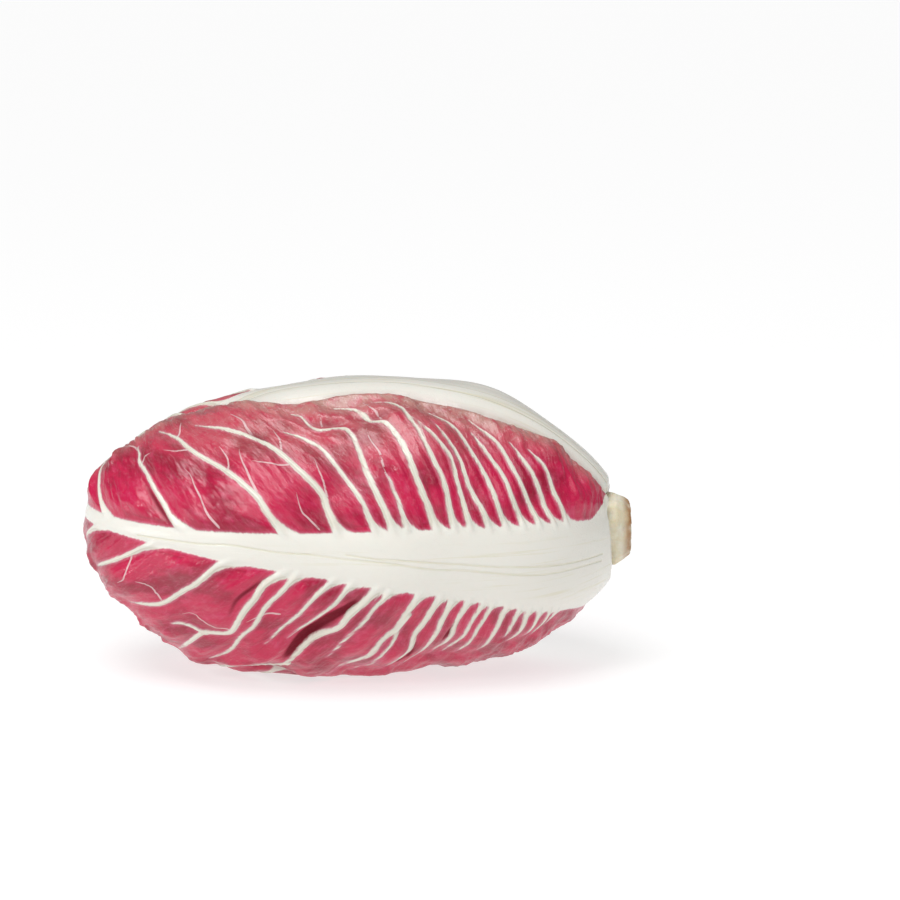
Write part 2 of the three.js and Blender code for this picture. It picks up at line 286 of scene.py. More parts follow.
# The first leaf's midrib runs nearly straight and sags towards the base
FIRST_RIB_START = 0.034
FIRST_RIB_SLOPE = 0.125
FIRST_RIB_SAG = 0.09


def rib_line(leaf, p):
    if leaf.index == 0:
        return FIRST_RIB_START + FIRST_RIB_SLOPE * p - FIRST_RIB_SAG * np.minimum(p, 0) ** 2
    return leaf.midrib(p)


def rib_half_width(leaf, p):
    middle, end, power, widest = RIBS.get(leaf.index, COMMON_RIB)
    width = RIB_TIP_HALF_WIDTH + middle * np.maximum(0, (end - p) / end) ** power
    return widest * np.tanh(width / widest)


# Side veins of the first leaf: half width at the root, then places in p and q from the midrib outwards
FIRST_LEAF_VEINS = [
    (0.9, [(1.10, 0.20), (1.18, 0.34), (1.26, 0.48), (1.33, 0.60), (1.36, 0.74), (1.36, 0.86)]),
    (1.0, [(0.60, 0.17), (0.69, 0.30), (0.77, 0.43), (0.86, 0.56), (0.96, 0.67), (0.99, 0.74), (1.06, 0.82)]),
    (1.1, [(0.17, 0.16), (0.24, 0.32), (0.30, 0.43), (0.45, 0.61), (0.64, 0.76), (0.77, 0.88), (0.94, 0.96)]),
    (1.2, [(-0.03, 0.16), (0.01, 0.35), (0.08, 0.53), (0.28, 0.80), (0.48, 0.93), (0.69, 1.01)]),
    (0.8, [(-0.16, 0.15), (-0.11, 0.37), (-0.01, 0.66), (0.10, 0.83), (0.23, 0.92)]),
    (1.1, [(-0.22, 0.15), (-0.16, 0.45), (-0.07, 0.86), (-0.02, 0.92), (0.07, 0.92), (0.14, 1.04),
           (0.20, 1.08)]),
    (0.65, [(-0.26, 0.20), (-0.24, 0.33), (-0.22, 0.46), (-0.20, 0.56)]),
    (1.2, [(-0.37, 0.15), (-0.32, 0.45), (-0.26, 0.77), (-0.21, 0.94), (-0.16, 0.97), (-0.09, 1.09),
           (0, 1.12)]),
    (0.9, [(-0.43, 0.18), (-0.39, 0.57), (-0.34, 0.79), (-0.31, 0.97), (-0.27, 1.09), (-0.17, 1.13)]),
    (0.8, [(-0.49, 0.18), (-0.46, 0.44), (-0.45, 0.62), (-0.41, 0.76), (-0.32, 0.98)]),
    (0.8, [(-0.57, 0.16), (-0.52, 0.40), (-0.47, 0.70), (-0.40, 0.96)]),
    (0.8, [(-0.64, 0.15), (-0.60, 0.38), (-0.56, 0.66), (-0.50, 0.90), (-0.40, 1.06)]),
    (0.9, [(-0.71, 0.14), (-0.68, 0.36), (-0.64, 0.62), (-0.57, 0.88)]),
    (0.8, [(-0.78, 0.13), (-0.75, 0.34), (-0.71, 0.60), (-0.65, 0.84), (-0.58, 0.98)]),
    (0.8, [(-0.85, 0.12), (-0.82, 0.32), (-0.79, 0.54), (-0.73, 0.78)]),
    (0.7, [(-0.92, 0.12), (-0.89, 0.30), (-0.86, 0.52), (-0.81, 0.72)]),
    (0.6, [(1.13, 0.17), (1.32, 0.03), (1.42, -0.06)]),
    (0.9, [(0.72, 0.10), (0.77, 0.06), (0.89, -0.03), (1.23, -0.25)]),
    (1.1, [(0.36, 0.03), (0.41, -0.02), (0.49, -0.11), (0.58, -0.23), (0.66, -0.31), (0.78, -0.42),
           (1.0, -0.5)]),
    (1.3, [(0.13, -0.02), (0.25, -0.15), (0.31, -0.28), (0.38, -0.46), (0.44, -0.54), (0.53, -0.56),
           (0.6, -0.62), (0.77, -0.89)]),
    (0.3, [(0.53, -0.56), (0.60, -0.53), (0.66, -0.53), (0.72, -0.56)]),
    (0.8, [(0.12, -0.07), (0.23, -0.28), (0.30, -0.43), (0.36, -0.55), (0.45, -0.72), (0.57, -0.85)]),
    (0.6, [(-0.04, -0.06), (0.08, -0.27), (0.18, -0.46), (0.28, -0.62)]),
    (0.6, [(-0.08, -0.12), (0.02, -0.33), (0.18, -0.58)]),
    (1.3, [(-0.18, -0.11), (-0.09, -0.31), (-0.03, -0.45), (0.06, -0.57), (0.19, -0.80), (0.28, -0.98)]),
    (0.7, [(0.20, -0.84), (0.34, -0.92), (0.47, -0.97), (0.56, -0.90)]),
    (0.5, [(-0.20, -0.18), (-0.13, -0.35), (-0.06, -0.54), (0.03, -0.78)]),
    (1.3, [(-0.31, -0.17), (-0.24, -0.44), (-0.18, -0.60), (-0.08, -0.84), (0.04, -1.05)]),
    (0.4, [(-0.27, -0.38), (-0.21, -0.62), (-0.14, -0.86), (-0.06, -1.02)]),
    (1.2, [(-0.39, -0.20), (-0.31, -0.52), (-0.27, -0.74), (-0.18, -1.00)]),
    (0.9, [(-0.42, -0.30), (-0.37, -0.58), (-0.34, -0.80), (-0.27, -1.02)]),
    (0.9, [(-0.49, -0.27), (-0.45, -0.50), (-0.43, -0.70), (-0.39, -0.92)]),
    (0.7, [(-0.55, -0.29), (-0.51, -0.50), (-0.48, -0.68), (-0.44, -0.88)]),
    (0.6, [(-0.59, -0.30), (-0.56, -0.48), (-0.53, -0.68), (-0.50, -0.90)]),
    (0.8, [(-0.65, -0.32), (-0.63, -0.50), (-0.61, -0.70), (-0.59, -0.86)]),
    (0.6, [(-0.70, -0.34), (-0.69, -0.50), (-0.67, -0.66)]),
    (0.7, [(-0.75, -0.36), (-0.73, -0.56), (-0.71, -0.76)]),
    (0.6, [(-0.80, -0.38), (-0.79, -0.54), (-0.78, -0.70)]),
    (0.7, [(-0.86, -0.38), (-0.85, -0.56), (-0.83, -0.74)]),
    (0.6, [(-0.91, -0.38), (-0.90, -0.54), (-0.89, -0.66)]),
]

# Thin veins of the first leaf, in the same way
FIRST_LEAF_THIN_VEINS = [
    (0.32, [(0.43, 0.21), (0.48, 0.29), (0.52, 0.39), (0.56, 0.47), (0.59, 0.55), (0.64, 0.61)]),
    (0.30, [(0.65, 0.77), (0.68, 0.76), (0.73, 0.74), (0.79, 0.74)]),
    (0.32, [(0.77, 0.89), (0.77, 0.94), (0.79, 1.03)]),
    (0.36, [(0.36, 0.89), (0.39, 0.94), (0.42, 1.00), (0.50, 1.06)]),
    (0.32, [(0.21, 0.75), (0.22, 0.82), (0.24, 0.87), (0.27, 0.94)]),
    (0.28, [(0.16, 0.64), (0.21, 0.63), (0.26, 0.64), (0.33, 0.66)]),
    (0.36, [(0.29, 0.45), (0.32, 0.53), (0.35, 0.61), (0.37, 0.67), (0.40, 0.77)]),
    (0.28, [(0.43, 0.60), (0.44, 0.68), (0.47, 0.74), (0.50, 0.79)]),
    (0.36, [(-0.22, 0.46), (-0.19, 0.60), (-0.17, 0.72), (-0.14, 0.84), (-0.13, 0.94)]),
    (0.30, [(0.01, 0.42), (0.03, 0.53), (0.05, 0.61), (0.07, 0.68)]),
    (0.26, [(0.04, 0.21), (0.08, 0.28), (0.11, 0.33), (0.13, 0.45)]),
    (0.34, [(0.90, -0.06), (0.91, -0.14), (0.93, -0.23), (0.98, -0.28)]),
    (0.30, [(0.75, -0.37), (0.77, -0.29), (0.81, -0.25), (0.87, -0.24)]),
    (0.32, [(0.04, 0.93), (0.05, 0.98), (0.06, 1.04)]),
    (0.30, [(0.94, 0.65), (0.93, 0.70), (0.87, 0.73)]),
    (0.30, [(1.03, 0.78), (1.10, 0.82), (1.20, 0.81)]),
    (0.28, [(-0.20, 0.98), (-0.16, 1.07), (-0.12, 1.15)]),
    (0.26, [(0.42, -0.50), (0.50, -0.47), (0.58, -0.42), (0.64, -0.44)]),
    (0.26, [(0.20, -0.36), (0.26, -0.37), (0.34, -0.43)]),
]

# Faint lines along the first leaf's midrib
FIRST_LEAF_GROOVES = [
    [(0.85, 0.11), (0.61, 0.10), (0.43, 0.10), (0.27, 0.08), (0.11, 0.05), (-0.03, 0.03), (-0.20, -0.01),
     (-0.34, -0.05), (-0.48, -0.08), (-0.78, -0.14), (-1.15, -0.16)],
    [(-0.05, 0.05), (-0.17, 0.02), (-0.30, 0.00), (-0.44, -0.03), (-0.60, -0.06), (-0.80, -0.09),
     (-1.15, -0.10)],
]

# How a path wanders between its places
PATH_STEPS = 8
WANDER = 0.005
WANDER_PITCH = 6
WANDER_PITCH_BY_REACH = (9, 15)
WANDER_PHASES = (0, 6.3)
WANDER_WAY = (1.0, 0.6)
WANDER_RISE = 4


# A smooth path through the given places, with a slight wander
def through(places, seed):
    knots = np.array(places, dtype=float)
    knots = np.concatenate([2 * knots[:1] - knots[1:2], knots, 2 * knots[-1:] - knots[-2:-1]])
    t = (np.arange(PATH_STEPS) / PATH_STEPS)[:, None]
    parts = []
    for a, b, c, d in zip(knots, knots[1:], knots[2:], knots[3:]):
        parts.append(b + 0.5 * t * (c - a + t * (2 * a - 5 * b + 4 * c - d + t * (3 * (b - c) + d - a))))
    path = np.concatenate(parts + [knots[-2:-1]])
    run = np.linspace(0, 1, len(path))
    reach = np.linalg.norm(path[-1] - path[0])
    phase = run * (WANDER_PITCH + reach * pick(WANDER_PITCH_BY_REACH, seed)) + pick(WANDER_PHASES, seed + 1)
    wander = WANDER * reach * np.sin(phase) * smooth(WANDER_RISE * run)
    return path + wander[:, None] * np.array(WANDER_WAY)


# Side veins of the other leaves, as shares of the leaf's length and width
VEINS_A_SIDE = 14
VEIN_ROOTS = (0.09, 0.92)
ROOT_JITTER = 0.5
ROOT_CROWDING = 1.3
VEIN_REACHES = (0.8, 1.2)
VEIN_LEAST_REACH = 0.1
VEIN_SPANS = (0.8, 0.93)
VEIN_BENDS = (1.2, 1.9)
VEIN_KINKS = (-0.04, 0.04)
VEIN_KNOTS = ((0.04, 0.08, 0), (0.3, 0.36, 0), (0.55, 0.64, 1), (0.7, 0.78, 1), (1.0, 1.0, 0))
VEIN_HALF_WIDTHS = (0.6, 1.2)
SECOND_LEAF_NEAR_SIDE_END = 0.55


# Side veins that the other leaves grow: square to the midrib at first, then bending towards the tip
def common_veins(leaf):
    length = leaf.tip - leaf.base
    routes = []
    for side in (-1, 1):
        for k in range(VEINS_A_SIDE):
            seed = leaf.index * 100 + k * 2 + side
            order = (k + ROOT_JITTER * scatter(seed)) / VEINS_A_SIDE
            share = VEIN_ROOTS[0] + (VEIN_ROOTS[1] - VEIN_ROOTS[0]) * order ** ROOT_CROWDING
            if leaf.index == 1 and side < 0 and share > SECOND_LEAF_NEAR_SIDE_END:
                continue
            root = leaf.base + length * share
            along = length * leaf.sweep(share) * pick(VEIN_REACHES, seed + 7) + VEIN_LEAST_REACH
            across = side * leaf.width(np.array(root + along)) * pick(VEIN_SPANS, seed + 5)
            bend = pick(VEIN_BENDS, seed + 11)
            kink = pick(VEIN_KINKS, seed + 13)
            places = [(root + along * t ** bend + kink * kinked, leaf.midrib(root) + across * s)
                      for t, s, kinked in VEIN_KNOTS]
            routes.append((pick(VEIN_HALF_WIDTHS, seed + 3), places))
    return routes


# Thin veins of the other leaves
THIN_VEIN_SEED = 300
THIN_VEIN_HALF_WIDTH = 0.34
THIN_VEIN_STARTS = (0.3, 0.5, 0.7)
THIN_VEIN_JITTER = 0.12
THIN_VEIN_LAST_ROOT = -0.3
THIN_VEIN_PARENT = 0.55
THIN_VEIN_MISSING = 0.35
THIN_VEIN_TURNS = (0.35, 0.7)
THIN_VEIN_STRAIGHTENING = 0.7
THIN_VEIN_WAVE = 0.25
THIN_VEIN_WAVE_PITCH = 7
THIN_VEIN_REACHES = (0.12, 0.28)
THIN_VEIN_STEPS = 10


# Thin veins that part from the side veins, run beside them and fade out in the blade
def thin_veins(leaf, veins):
    if leaf.index == 0:
        return [(through(places, THIN_VEIN_SEED + k), width)
                for k, (width, places) in enumerate(FIRST_LEAF_THIN_VEINS)]
    thin = []
    for k, (path, width) in enumerate(veins):
        for branch, start in enumerate(THIN_VEIN_STARTS):
            seed = leaf.index * 1000 + k * 10 + branch
            slight = width < THIN_VEIN_PARENT or path[0, 0] < THIN_VEIN_LAST_ROOT
            if slight or scatter(seed) < THIN_VEIN_MISSING:
                continue
            at = int((start + THIN_VEIN_JITTER * scatter(seed + 1)) * (len(path) - 1))
            way = path[min(at + 2, len(path) - 1)] - path[at - 2]
            way = way / max(np.linalg.norm(way), 1e-6)
            turn = pick(THIN_VEIN_TURNS, seed + 2) * (1 if scatter(seed + 6) < 0.5 else -1)
            t = np.linspace(0, 1, THIN_VEIN_STEPS)
            wave = THIN_VEIN_WAVE * np.sin(t * THIN_VEIN_WAVE_PITCH + 6 * scatter(seed + 4))
            heading = turn * (1 - THIN_VEIN_STRAIGHTENING * t) + wave
            steps = np.stack([way[0] * np.cos(heading) - way[1] * np.sin(heading),
                              way[0] * np.sin(heading) + way[1] * np.cos(heading)], 1)
            steps *= pick(THIN_VEIN_REACHES, seed + 3) / THIN_VEIN_STEPS
            thin.append((path[at] + np.concatenate([[[0, 0]], np.cumsum(steps, 0)]), THIN_VEIN_HALF_WIDTH))
    return thin


# Grooves along the midrib
GROOVE_SEED = 400
GROOVE_REACH = 4.0
GROOVE_SHIFTS = (-0.04, 0.05)
GROOVE_END = 0.6
GROOVE_WAVE = 0.02
GROOVE_WAVE_PITCH = 4


def groove_lines(leaf):
    if leaf.index == 0:
        return [through(places, GROOVE_SEED + k) for k, places in enumerate(FIRST_LEAF_GROOVES)]
    p = np.linspace(leaf.base, GROOVE_END * leaf.tip, 40)
    middle = leaf.midrib(p) + GROOVE_WAVE * np.sin(GROOVE_WAVE_PITCH * p + leaf.index)
    return [np.stack([p, middle + shift], 1) for shift in GROOVE_SHIFTS]


# How far each point is from a path, how far along it, and whether it lies to the path's left
def path_distance(points, path, reach):
    best = np.full(len(points), 1e3)
    along = np.zeros(len(points))
    left = np.zeros(len(points), dtype=bool)
    near = np.all((points > path.min(0) - reach) & (points < path.max(0) + reach), axis=1)
    subset = points[near]
    found = np.full(len(subset), 1e3)
    run = np.zeros(len(subset))
    turn = np.zeros(len(subset))
    steps = np.diff(path, axis=0)
    lengths = np.linalg.norm(steps, axis=1)
    starts = np.concatenate([[0], np.cumsum(lengths)])
    for start, step, length, offset in zip(path[:-1], steps, lengths, starts):
        if length < 1e-6:
            continue
        t = np.clip((subset - start) @ step / length ** 2, 0, 1)
        away = subset - start - t[:, None] * step
        distance = np.linalg.norm(away, axis=1)
        closer = distance < found
        found[closer] = distance[closer]
        run[closer] = offset + t[closer] * length
        turn[closer] = np.sum(np.cross(step, away[closer]) * subset[closer], 1)
    best[near] = found
    along[near] = run
    left[near] = turn > 0
    return best, along, starts[-1], left


# The lesser of two distances, rounded where they meet
def soft_min(a, b, blend):
    near = np.maximum(blend - np.abs(a - b), 0) / blend
    return np.minimum(a, b) - near * near * blend / 4


# How veins and midrib stand out and join, in millimetres
FIELD_REACH = 12.0
THIN_REACH = 2.0
WIDEST_THIN_GAP = 0.95
LAST_THIN_VEINED_LEAF = 5
VEIN_WIDTH = 0.70
VEIN_TAPER = 0.9
VEIN_TIP_SHARE = 0.27
VEIN_TIP_LOSS = 0.35
VEIN_LOSS_START = 0.8
VEIN_FLARE = 0.45
VEIN_FLARE_REACH = 4.0
JOIN_BLEND = 0.7
TIP_SIDE_BLEND = 0.8
BASE_SIDE_BLEND = 6.5
DOME_SHARE = 1.35
RIDGE_FALL = 0.7
RIDGE_SHARE = 0.6
RIDGE_FOOT = 0.45
NARROWEST_FLANK = 0.4
WIDEST_FLANK = 2
PUFF_REACH = 3.6


def on_skin(leaf, way):
    return point_at(leaf.direction(way[:, 0], way[:, 1]), 0)


def vein_half_width(width, share, along):
    taper = VEIN_TIP_SHARE + (1 - VEIN_TIP_SHARE) * (1 - share) ** VEIN_TAPER
    loss = VEIN_TIP_LOSS * smooth((share - VEIN_LOSS_START) / (1 - VEIN_LOSS_START))
    return VEIN_WIDTH * width * taper - loss + VEIN_FLARE * width * np.exp(-along / VEIN_FLARE_REACH)


# How far each point is from the thin veins, with the side it lies on, and how wide they are there
def thin_vein_fields(leaf, veins, points):
    away = np.full(len(points), THIN_REACH)
    half = np.full(len(points), -THIN_REACH)
    routes = thin_veins(leaf, veins) if leaf.index <= LAST_THIN_VEINED_LEAF else []
    for way, width in routes:
        distance, along, length, left = path_distance(points, on_skin(leaf, way), THIN_REACH + 1)
        share = along / length
        near = (distance < np.abs(away)) & (distance < WIDEST_THIN_GAP) & (share < 0.995)
        away[near] = (np.where(left, 1, -1) * distance)[near]
        half[near] = (1.1 * width * (1 - share ** 2))[near]
    return away, half


# What the veins make of each point of a leaf: distances from the white and how far it stands out
def vein_fields(leaf, p, q, skin):
    points = skin.reshape(-1, 3)
    line_p = np.linspace(leaf.base, leaf.tip, 60)
    line = on_skin(leaf, np.stack([line_p, rib_line(leaf, line_p)], 1))
    middle = path_distance(points, line, 60)[0]
    half = rib_half_width(leaf, p.ravel())
    band = middle - half
    white = band
    dome = np.clip(1 - (middle / (DOME_SHARE * half)) ** 2, 0, 1)
    rise = np.zeros(len(points))
    flank = np.zeros(len(points))
    closest = np.full(len(points), FIELD_REACH)
    routes = FIRST_LEAF_VEINS if leaf.index == 0 else common_veins(leaf)
    veins = [(through(places, leaf.index * 50 + k), width) for k, (width, places) in enumerate(routes)]
    for way, width in veins:
        distance, along, length, left = path_distance(points, on_skin(leaf, way), FIELD_REACH)
        share = along / length
        wide = vein_half_width(width, share, along)
        tipward = left == (way[-1, 1] > way[0, 1])
        joined = soft_min(band, distance - wide, np.where(tipward, TIP_SIDE_BLEND, BASE_SIDE_BLEND))
        white = soft_min(white, joined, JOIN_BLEND)
        closer = distance < closest
        closest[closer] = distance[closer]
        flank[closer] = (np.where(left, 1, -1) * distance / np.maximum(wide, NARROWEST_FLANK))[closer]
        ridge_width = RIDGE_SHARE * np.maximum(wide, 0) + RIDGE_FOOT
        rise = np.maximum(rise, (1 - share) ** RIDGE_FALL * np.exp(-(distance / ridge_width) ** 2))
    thin_away, thin_half = thin_vein_fields(leaf, veins, points)
    groove = np.full(len(points), GROOVE_REACH)
    for way in groove_lines(leaf):
        groove = np.minimum(groove, path_distance(points, on_skin(leaf, way), GROOVE_REACH)[0])
    fields = {
        "white_gap": np.clip(white, -FIELD_REACH, FIELD_REACH),
        "rib_gap": np.clip(band, -RIB_REACH, FIELD_REACH),
        "thin_away": thin_away,
        "thin_half": thin_half,
        "groove": groove,
        "rise": rise * smooth((band + 1.5) / 4),
        "flank": np.clip(flank, -WIDEST_FLANK, WIDEST_FLANK) * smooth((band - 1.0) / 3),
        "puff": 1 - np.exp(-(np.maximum(white, 0) / PUFF_REACH) ** 2),
        "dome": smooth(dome),
    }
    return {name: field.reshape(p.shape) for name, field in fields.items()}


# Folds pressed into the first leaf: half width, depth and painted shade, then places in p and q
FIRST_LEAF_FOLDS = [
    (1.7, 3.0, 2.2, [(-0.10, -0.24), (-0.03, -0.35), (0.05, -0.47), (0.13, -0.61), (0.22, -0.78)]),
    (0.8, 1.2, 1.4, [(-0.46, -0.42), (-0.44, -0.54), (-0.41, -0.68)]),
    (0.7, 1.0, 1.4, [(-0.31, -0.62), (-0.28, -0.78), (-0.24, -0.90)]),
    (0.9, 1.0, 0.8, [(0.64, 0.18), (0.72, 0.29), (0.79, 0.40), (0.88, 0.52)]),
    (0.9, 0.9, 0.8, [(0.22, -0.08), (0.31, -0.19), (0.37, -0.28), (0.41, -0.40)]),
    (1.6, 1.3, 0.45, [(0.18, 1.05), (0.08, 0.97), (-0.03, 0.96), (-0.10, 1.02)]),
    (1.6, 1.3, 0.45, [(-0.05, 1.06), (-0.15, 0.99), (-0.24, 1.03), (-0.30, 1.10)]),
    (1.3, 1.0, 0.8, [(0.40, 0.93), (0.30, 0.83), (0.20, 0.70)]),
    (0.8, 0.8, 0.6, [(-0.31, 0.62), (-0.34, 0.45), (-0.36, 0.28)]),
    (1.6, 0.8, 0.3, [(0.62, 0.72), (0.54, 0.60), (0.50, 0.44)]),
    (1.2, -1.6, 0.0, [(-0.02, -0.96), (0.04, -1.14)]),
    (1.0, -1.4, 0.0, [(-0.10, -0.98), (-0.08, -1.16)]),
    (1.0, -1.3, 0.0, [(-0.20, -0.98), (-0.20, -1.12)]),
    (1.3, -1.5, 0.0, [(1.32, 0.40), (1.42, 0.60)]),
    (1.0, -1.2, 0.0, [(1.18, 0.62), (1.24, 0.82)]),
    (1.2, -1.2, 0.0, [(1.28, -0.10), (1.30, -0.34)]),
    (1.2, -1.2, 0.0, [(1.00, -0.62), (0.92, -0.88)]),
]
FOLD_SEED = 700
FOLD_FADE = 0.6
FOLD_SHADE_SHARE = 0.85


# How deep the folds are at each point and how much painted shade they get
def folds(leaf, skin):
    points = skin.reshape(-1, 3)
    depth = np.zeros(len(points))
    fold_shade = np.zeros(len(points))
    if leaf.index == 0:
        for k, (half, deep, shade, places) in enumerate(FIRST_LEAF_FOLDS):
            way = through(places, FOLD_SEED + k)
            distance, along, length, _ = path_distance(points, on_skin(leaf, way), 4 * half)
            fade = np.sin(math.pi * np.clip(along / length, 0.02, 0.98)) ** FOLD_FADE
            depth += deep * fade * np.exp(-(distance / half) ** 2)
            fold_shade = np.maximum(fold_shade, shade * fade * np.exp(-(distance / (FOLD_SHADE_SHARE * half)) ** 2))
    return depth.reshape(skin.shape[:-1]), fold_shade.reshape(skin.shape[:-1])


def run_lengths(points, axis):
    steps = np.linalg.norm(np.diff(points, axis=axis), axis=-1)
    start = np.zeros_like(steps.take([0], axis))
    return np.concatenate([start, np.cumsum(steps, axis)], axis)


# How a blade lies, in millimetres
FOOT_ROUNDING = 1.5
FOOT_ROUNDING_REACH = 3.5
FOOT_THINNING = 0.3
EDGE_TUCK_REACH = 12.0
RIM_REACH = 2.5
RIM_THICKNESS_SHARE = 0.45
RIM_MIDDLE = 0.4
RIB_THINNING = 1.1
UNDULATION = 0.7
UNDULATION_LENGTH = 46
BILLOW = 0.75
BILLOW_LENGTH = 21
BILLOW_WAVES = 9
BILLOW_FADE = 8.0
UNCOVERED_LIMIT = -9.0
FREE_HEIGHT = 4.0
FREE_EDGE = 3.0
HIDDEN_FIXED = 1.8
HIDDEN_SHELTERED = 1.4
HIDDEN_BLUR = 5
BLUR_ROWS = 300

# Where a blade is dried, where painted sheen lies on its upward side, where it is white, and how its patterns
# run
DRY_AND_SHEEN_HEIGHT = 0.5
DRY_AND_SHEEN_FADE = 0.3
DRY_AND_SHEEN_SHARE = 0.5
DRY_BAND = 15.0
FOOT_WHITE = 9.0
FOOT_WHITE_REACH = 15.0
RIB_FLOW_LENGTH = 80
PATTERN_STEP = 37.0


# Smooths a leaf's depth where it is pressed by the leaves over it, but never lifts it into them
def press(loose, limit, covered, scale):
    depth = np.maximum(loose, limit)
    for reach in BLUR_PASSES:
        softened = blurred(depth, max(1, round(reach * scale)))
        near_cover = blurred(covered.astype(float), max(1, round(2 * reach * scale))) > 0.001
        depth = np.where(near_cover, np.maximum(softened, limit), depth)
    return blurred(depth, 1)


# Where a leaf can lift, where it is sheltered, where it has dried and carries painted top sheen, and where it
# stays white
def add_cover_fields(fields, outer, n, foot_gap, hidden):
    edge_gap = fields["edge_gap"]
    height = outer[..., 2] + HEAD_RADIUS - FLAT_SPOT_DEPTH
    bare = 1 - smooth(hidden * HIDDEN_FIXED)
    fields["free"] = bare * smooth(edge_gap / FREE_EDGE) * smooth(height / FREE_HEIGHT)
    fields["shelter"] = smooth(hidden * HIDDEN_SHELTERED)
    # Real drying near the upper margin plus painted sheen: the upward-facing blade is paled because it faces
    # the light
    upward = (n[..., 2] - DRY_AND_SHEEN_HEIGHT) / DRY_AND_SHEEN_FADE
    by_edge = smooth(1 - edge_gap / DRY_BAND) * smooth(upward + 1)
    fields["dry_and_top_sheen"] = (DRY_AND_SHEEN_SHARE * smooth(upward) + by_edge) * (1 - fields["shelter"])
    fields["white_gap"] = fields["white_gap"] - FOOT_WHITE * smooth(1 - foot_gap / FOOT_WHITE_REACH)


# Lays one leaf under the ceiling and returns its outer and inner faces with the fields that dress them
def lay_leaf(leaf, ring, ceiling):
    v = np.linspace(0, TIP_ROW, ring["rows"] + 1)[:, None]
    u = np.linspace(-1, 1, ring["columns"] + 1)[None, :]
    p, q = leaf.place(v, u)
    p, q = np.broadcast_arrays(p, q)
    n = leaf.direction(p, q)
    skin = point_at(n, 0)
    fields = vein_fields(leaf, p, q, skin)

    across = run_lengths(skin, 1)
    along = run_lengths(skin, 0)
    sides = np.minimum(across, across[:, -1:] - across)
    fields["edge_gap"] = np.minimum(sides, along[-1:] - along)
    foot_gap = along + 0 * across
    side_run = across - across[:, ring["columns"] // 2][:, None]
    pattern = PATTERN_STEP * leaf.index + 0 * side_run
    fields["flow"] = np.stack([along.mean(1, keepdims=True) + 0 * along, side_run, pattern], -1)
    fields["rib_flow"] = np.stack([p * RIB_FLOW_LENGTH, q * HEAD_RADIUS, pattern], -1)

    above = ceiling.depth(n)
    covered = above > 0
    tuck = EDGE_TUCK * smooth(1 - fields["edge_gap"] / EDGE_TUCK_REACH)
    rib_share = (1 - v) ** RIB_THINNING * fields.pop("dome")
    creases, fields["crease_shade"] = folds(leaf, skin)
    undulation = UNDULATION * swell(skin, UNDULATION_LENGTH, leaf.index + 3)
    billow = BILLOW * swell(skin, BILLOW_LENGTH, leaf.index + 9, BILLOW_WAVES)
    billow = billow * smooth((fields["rib_gap"] + 1) / BILLOW_FADE)
    loose = ring["level"] + tuck + undulation + billow + creases - RIB_PROUD_SHARE * leaf.rib * rib_share
    scale = ring["rows"] / BLUR_ROWS
    depth = press(loose, np.where(covered, above + LEAF_GAP, UNCOVERED_LIMIT), covered, scale)
    foot = 1 - smooth(foot_gap / FOOT_ROUNDING_REACH)
    outer_depth = np.maximum(depth + FOOT_ROUNDING * foot, floor_depth(n))
    rim = RIM_THICKNESS_SHARE + (1 - RIM_THICKNESS_SHARE) * smooth(fields["edge_gap"] / RIM_REACH)
    thickness = rim * (BLADE_THICKNESS + (leaf.rib - BLADE_THICKNESS) * rib_share) / depth_scale(n)
    inner_depth = outer_depth + thickness * (1 - FOOT_THINNING * foot)
    ceiling.lower(n, inner_depth)

    outer = point_at(n, outer_depth)
    rim_points = point_at(n, outer_depth + RIM_MIDDLE * thickness)
    outer[:, [0, -1]] = rim_points[:, [0, -1]]
    outer[-1] = rim_points[-1]
    fields["lift"] = point_at(n, outer_depth - 1) - point_at(n, outer_depth)
    hidden = blurred(covered.astype(float), max(2, round(HIDDEN_BLUR * scale)))
    add_cover_fields(fields, outer, n, foot_gap, hidden)
    return outer, point_at(n, inner_depth), fields


# Joins a fine edge to an edge a third as fine
def stitch(fine, coarse):
    triangles = []
    for k in range(len(coarse) - 1):
        f0, f1, f2, f3 = fine[3 * k: 3 * k + 4]
        a, b = coarse[k], coarse[k + 1]
        triangles += [(f0, a, f1), (f1, a, f2), (a, b, f2), (f2, b, f3)]
    return triangles


# The four-sided faces of a grid of vertex numbers
def grid_quads(ids, inward):
    a, b, c, d = ids[:-1, :-1], ids[:-1, 1:], ids[1:, 1:], ids[1:, :-1]
    order = (a, d, c, b) if inward else (a, b, c, d)
    return np.stack(order, -1).reshape(-1, 4)


# A smooth-shaded mesh from places in millimetres about the head's middle
def make_mesh(name, points, quads, triangles):
    mesh = bpy.data.meshes.new(name)
    mesh.vertices.add(len(points))
    mesh.vertices.foreach_set("co", (points * MM + HEAD_MIDDLE).astype(np.float32).ravel())
    corners = np.concatenate([np.asarray(quads).ravel(), np.asarray(triangles).ravel()]).astype(np.int32)
    mesh.loops.add(len(corners))
    mesh.loops.foreach_set("vertex_index", corners)
    starts = np.concatenate([4 * np.arange(len(quads)), 4 * len(quads) + 3 * np.arange(len(triangles))])
    mesh.polygons.add(len(starts))
    mesh.polygons.foreach_set("loop_start", starts.astype(np.int32))
    mesh.polygons.foreach_set("use_smooth", np.ones(len(starts), dtype=bool))
    mesh.update(calc_edges=True)
    return mesh


def set_attribute(mesh, name, values):
    kind = "FLOAT_VECTOR" if values.ndim == 2 else "FLOAT"
    key = "vector" if values.ndim == 2 else "value"
    mesh.attributes.new(name, kind, "POINT").data.foreach_set(key, values.astype(np.float32).ravel())


INNER_STEP = 3
OUTER_ONLY = ("free", "rise", "lift")


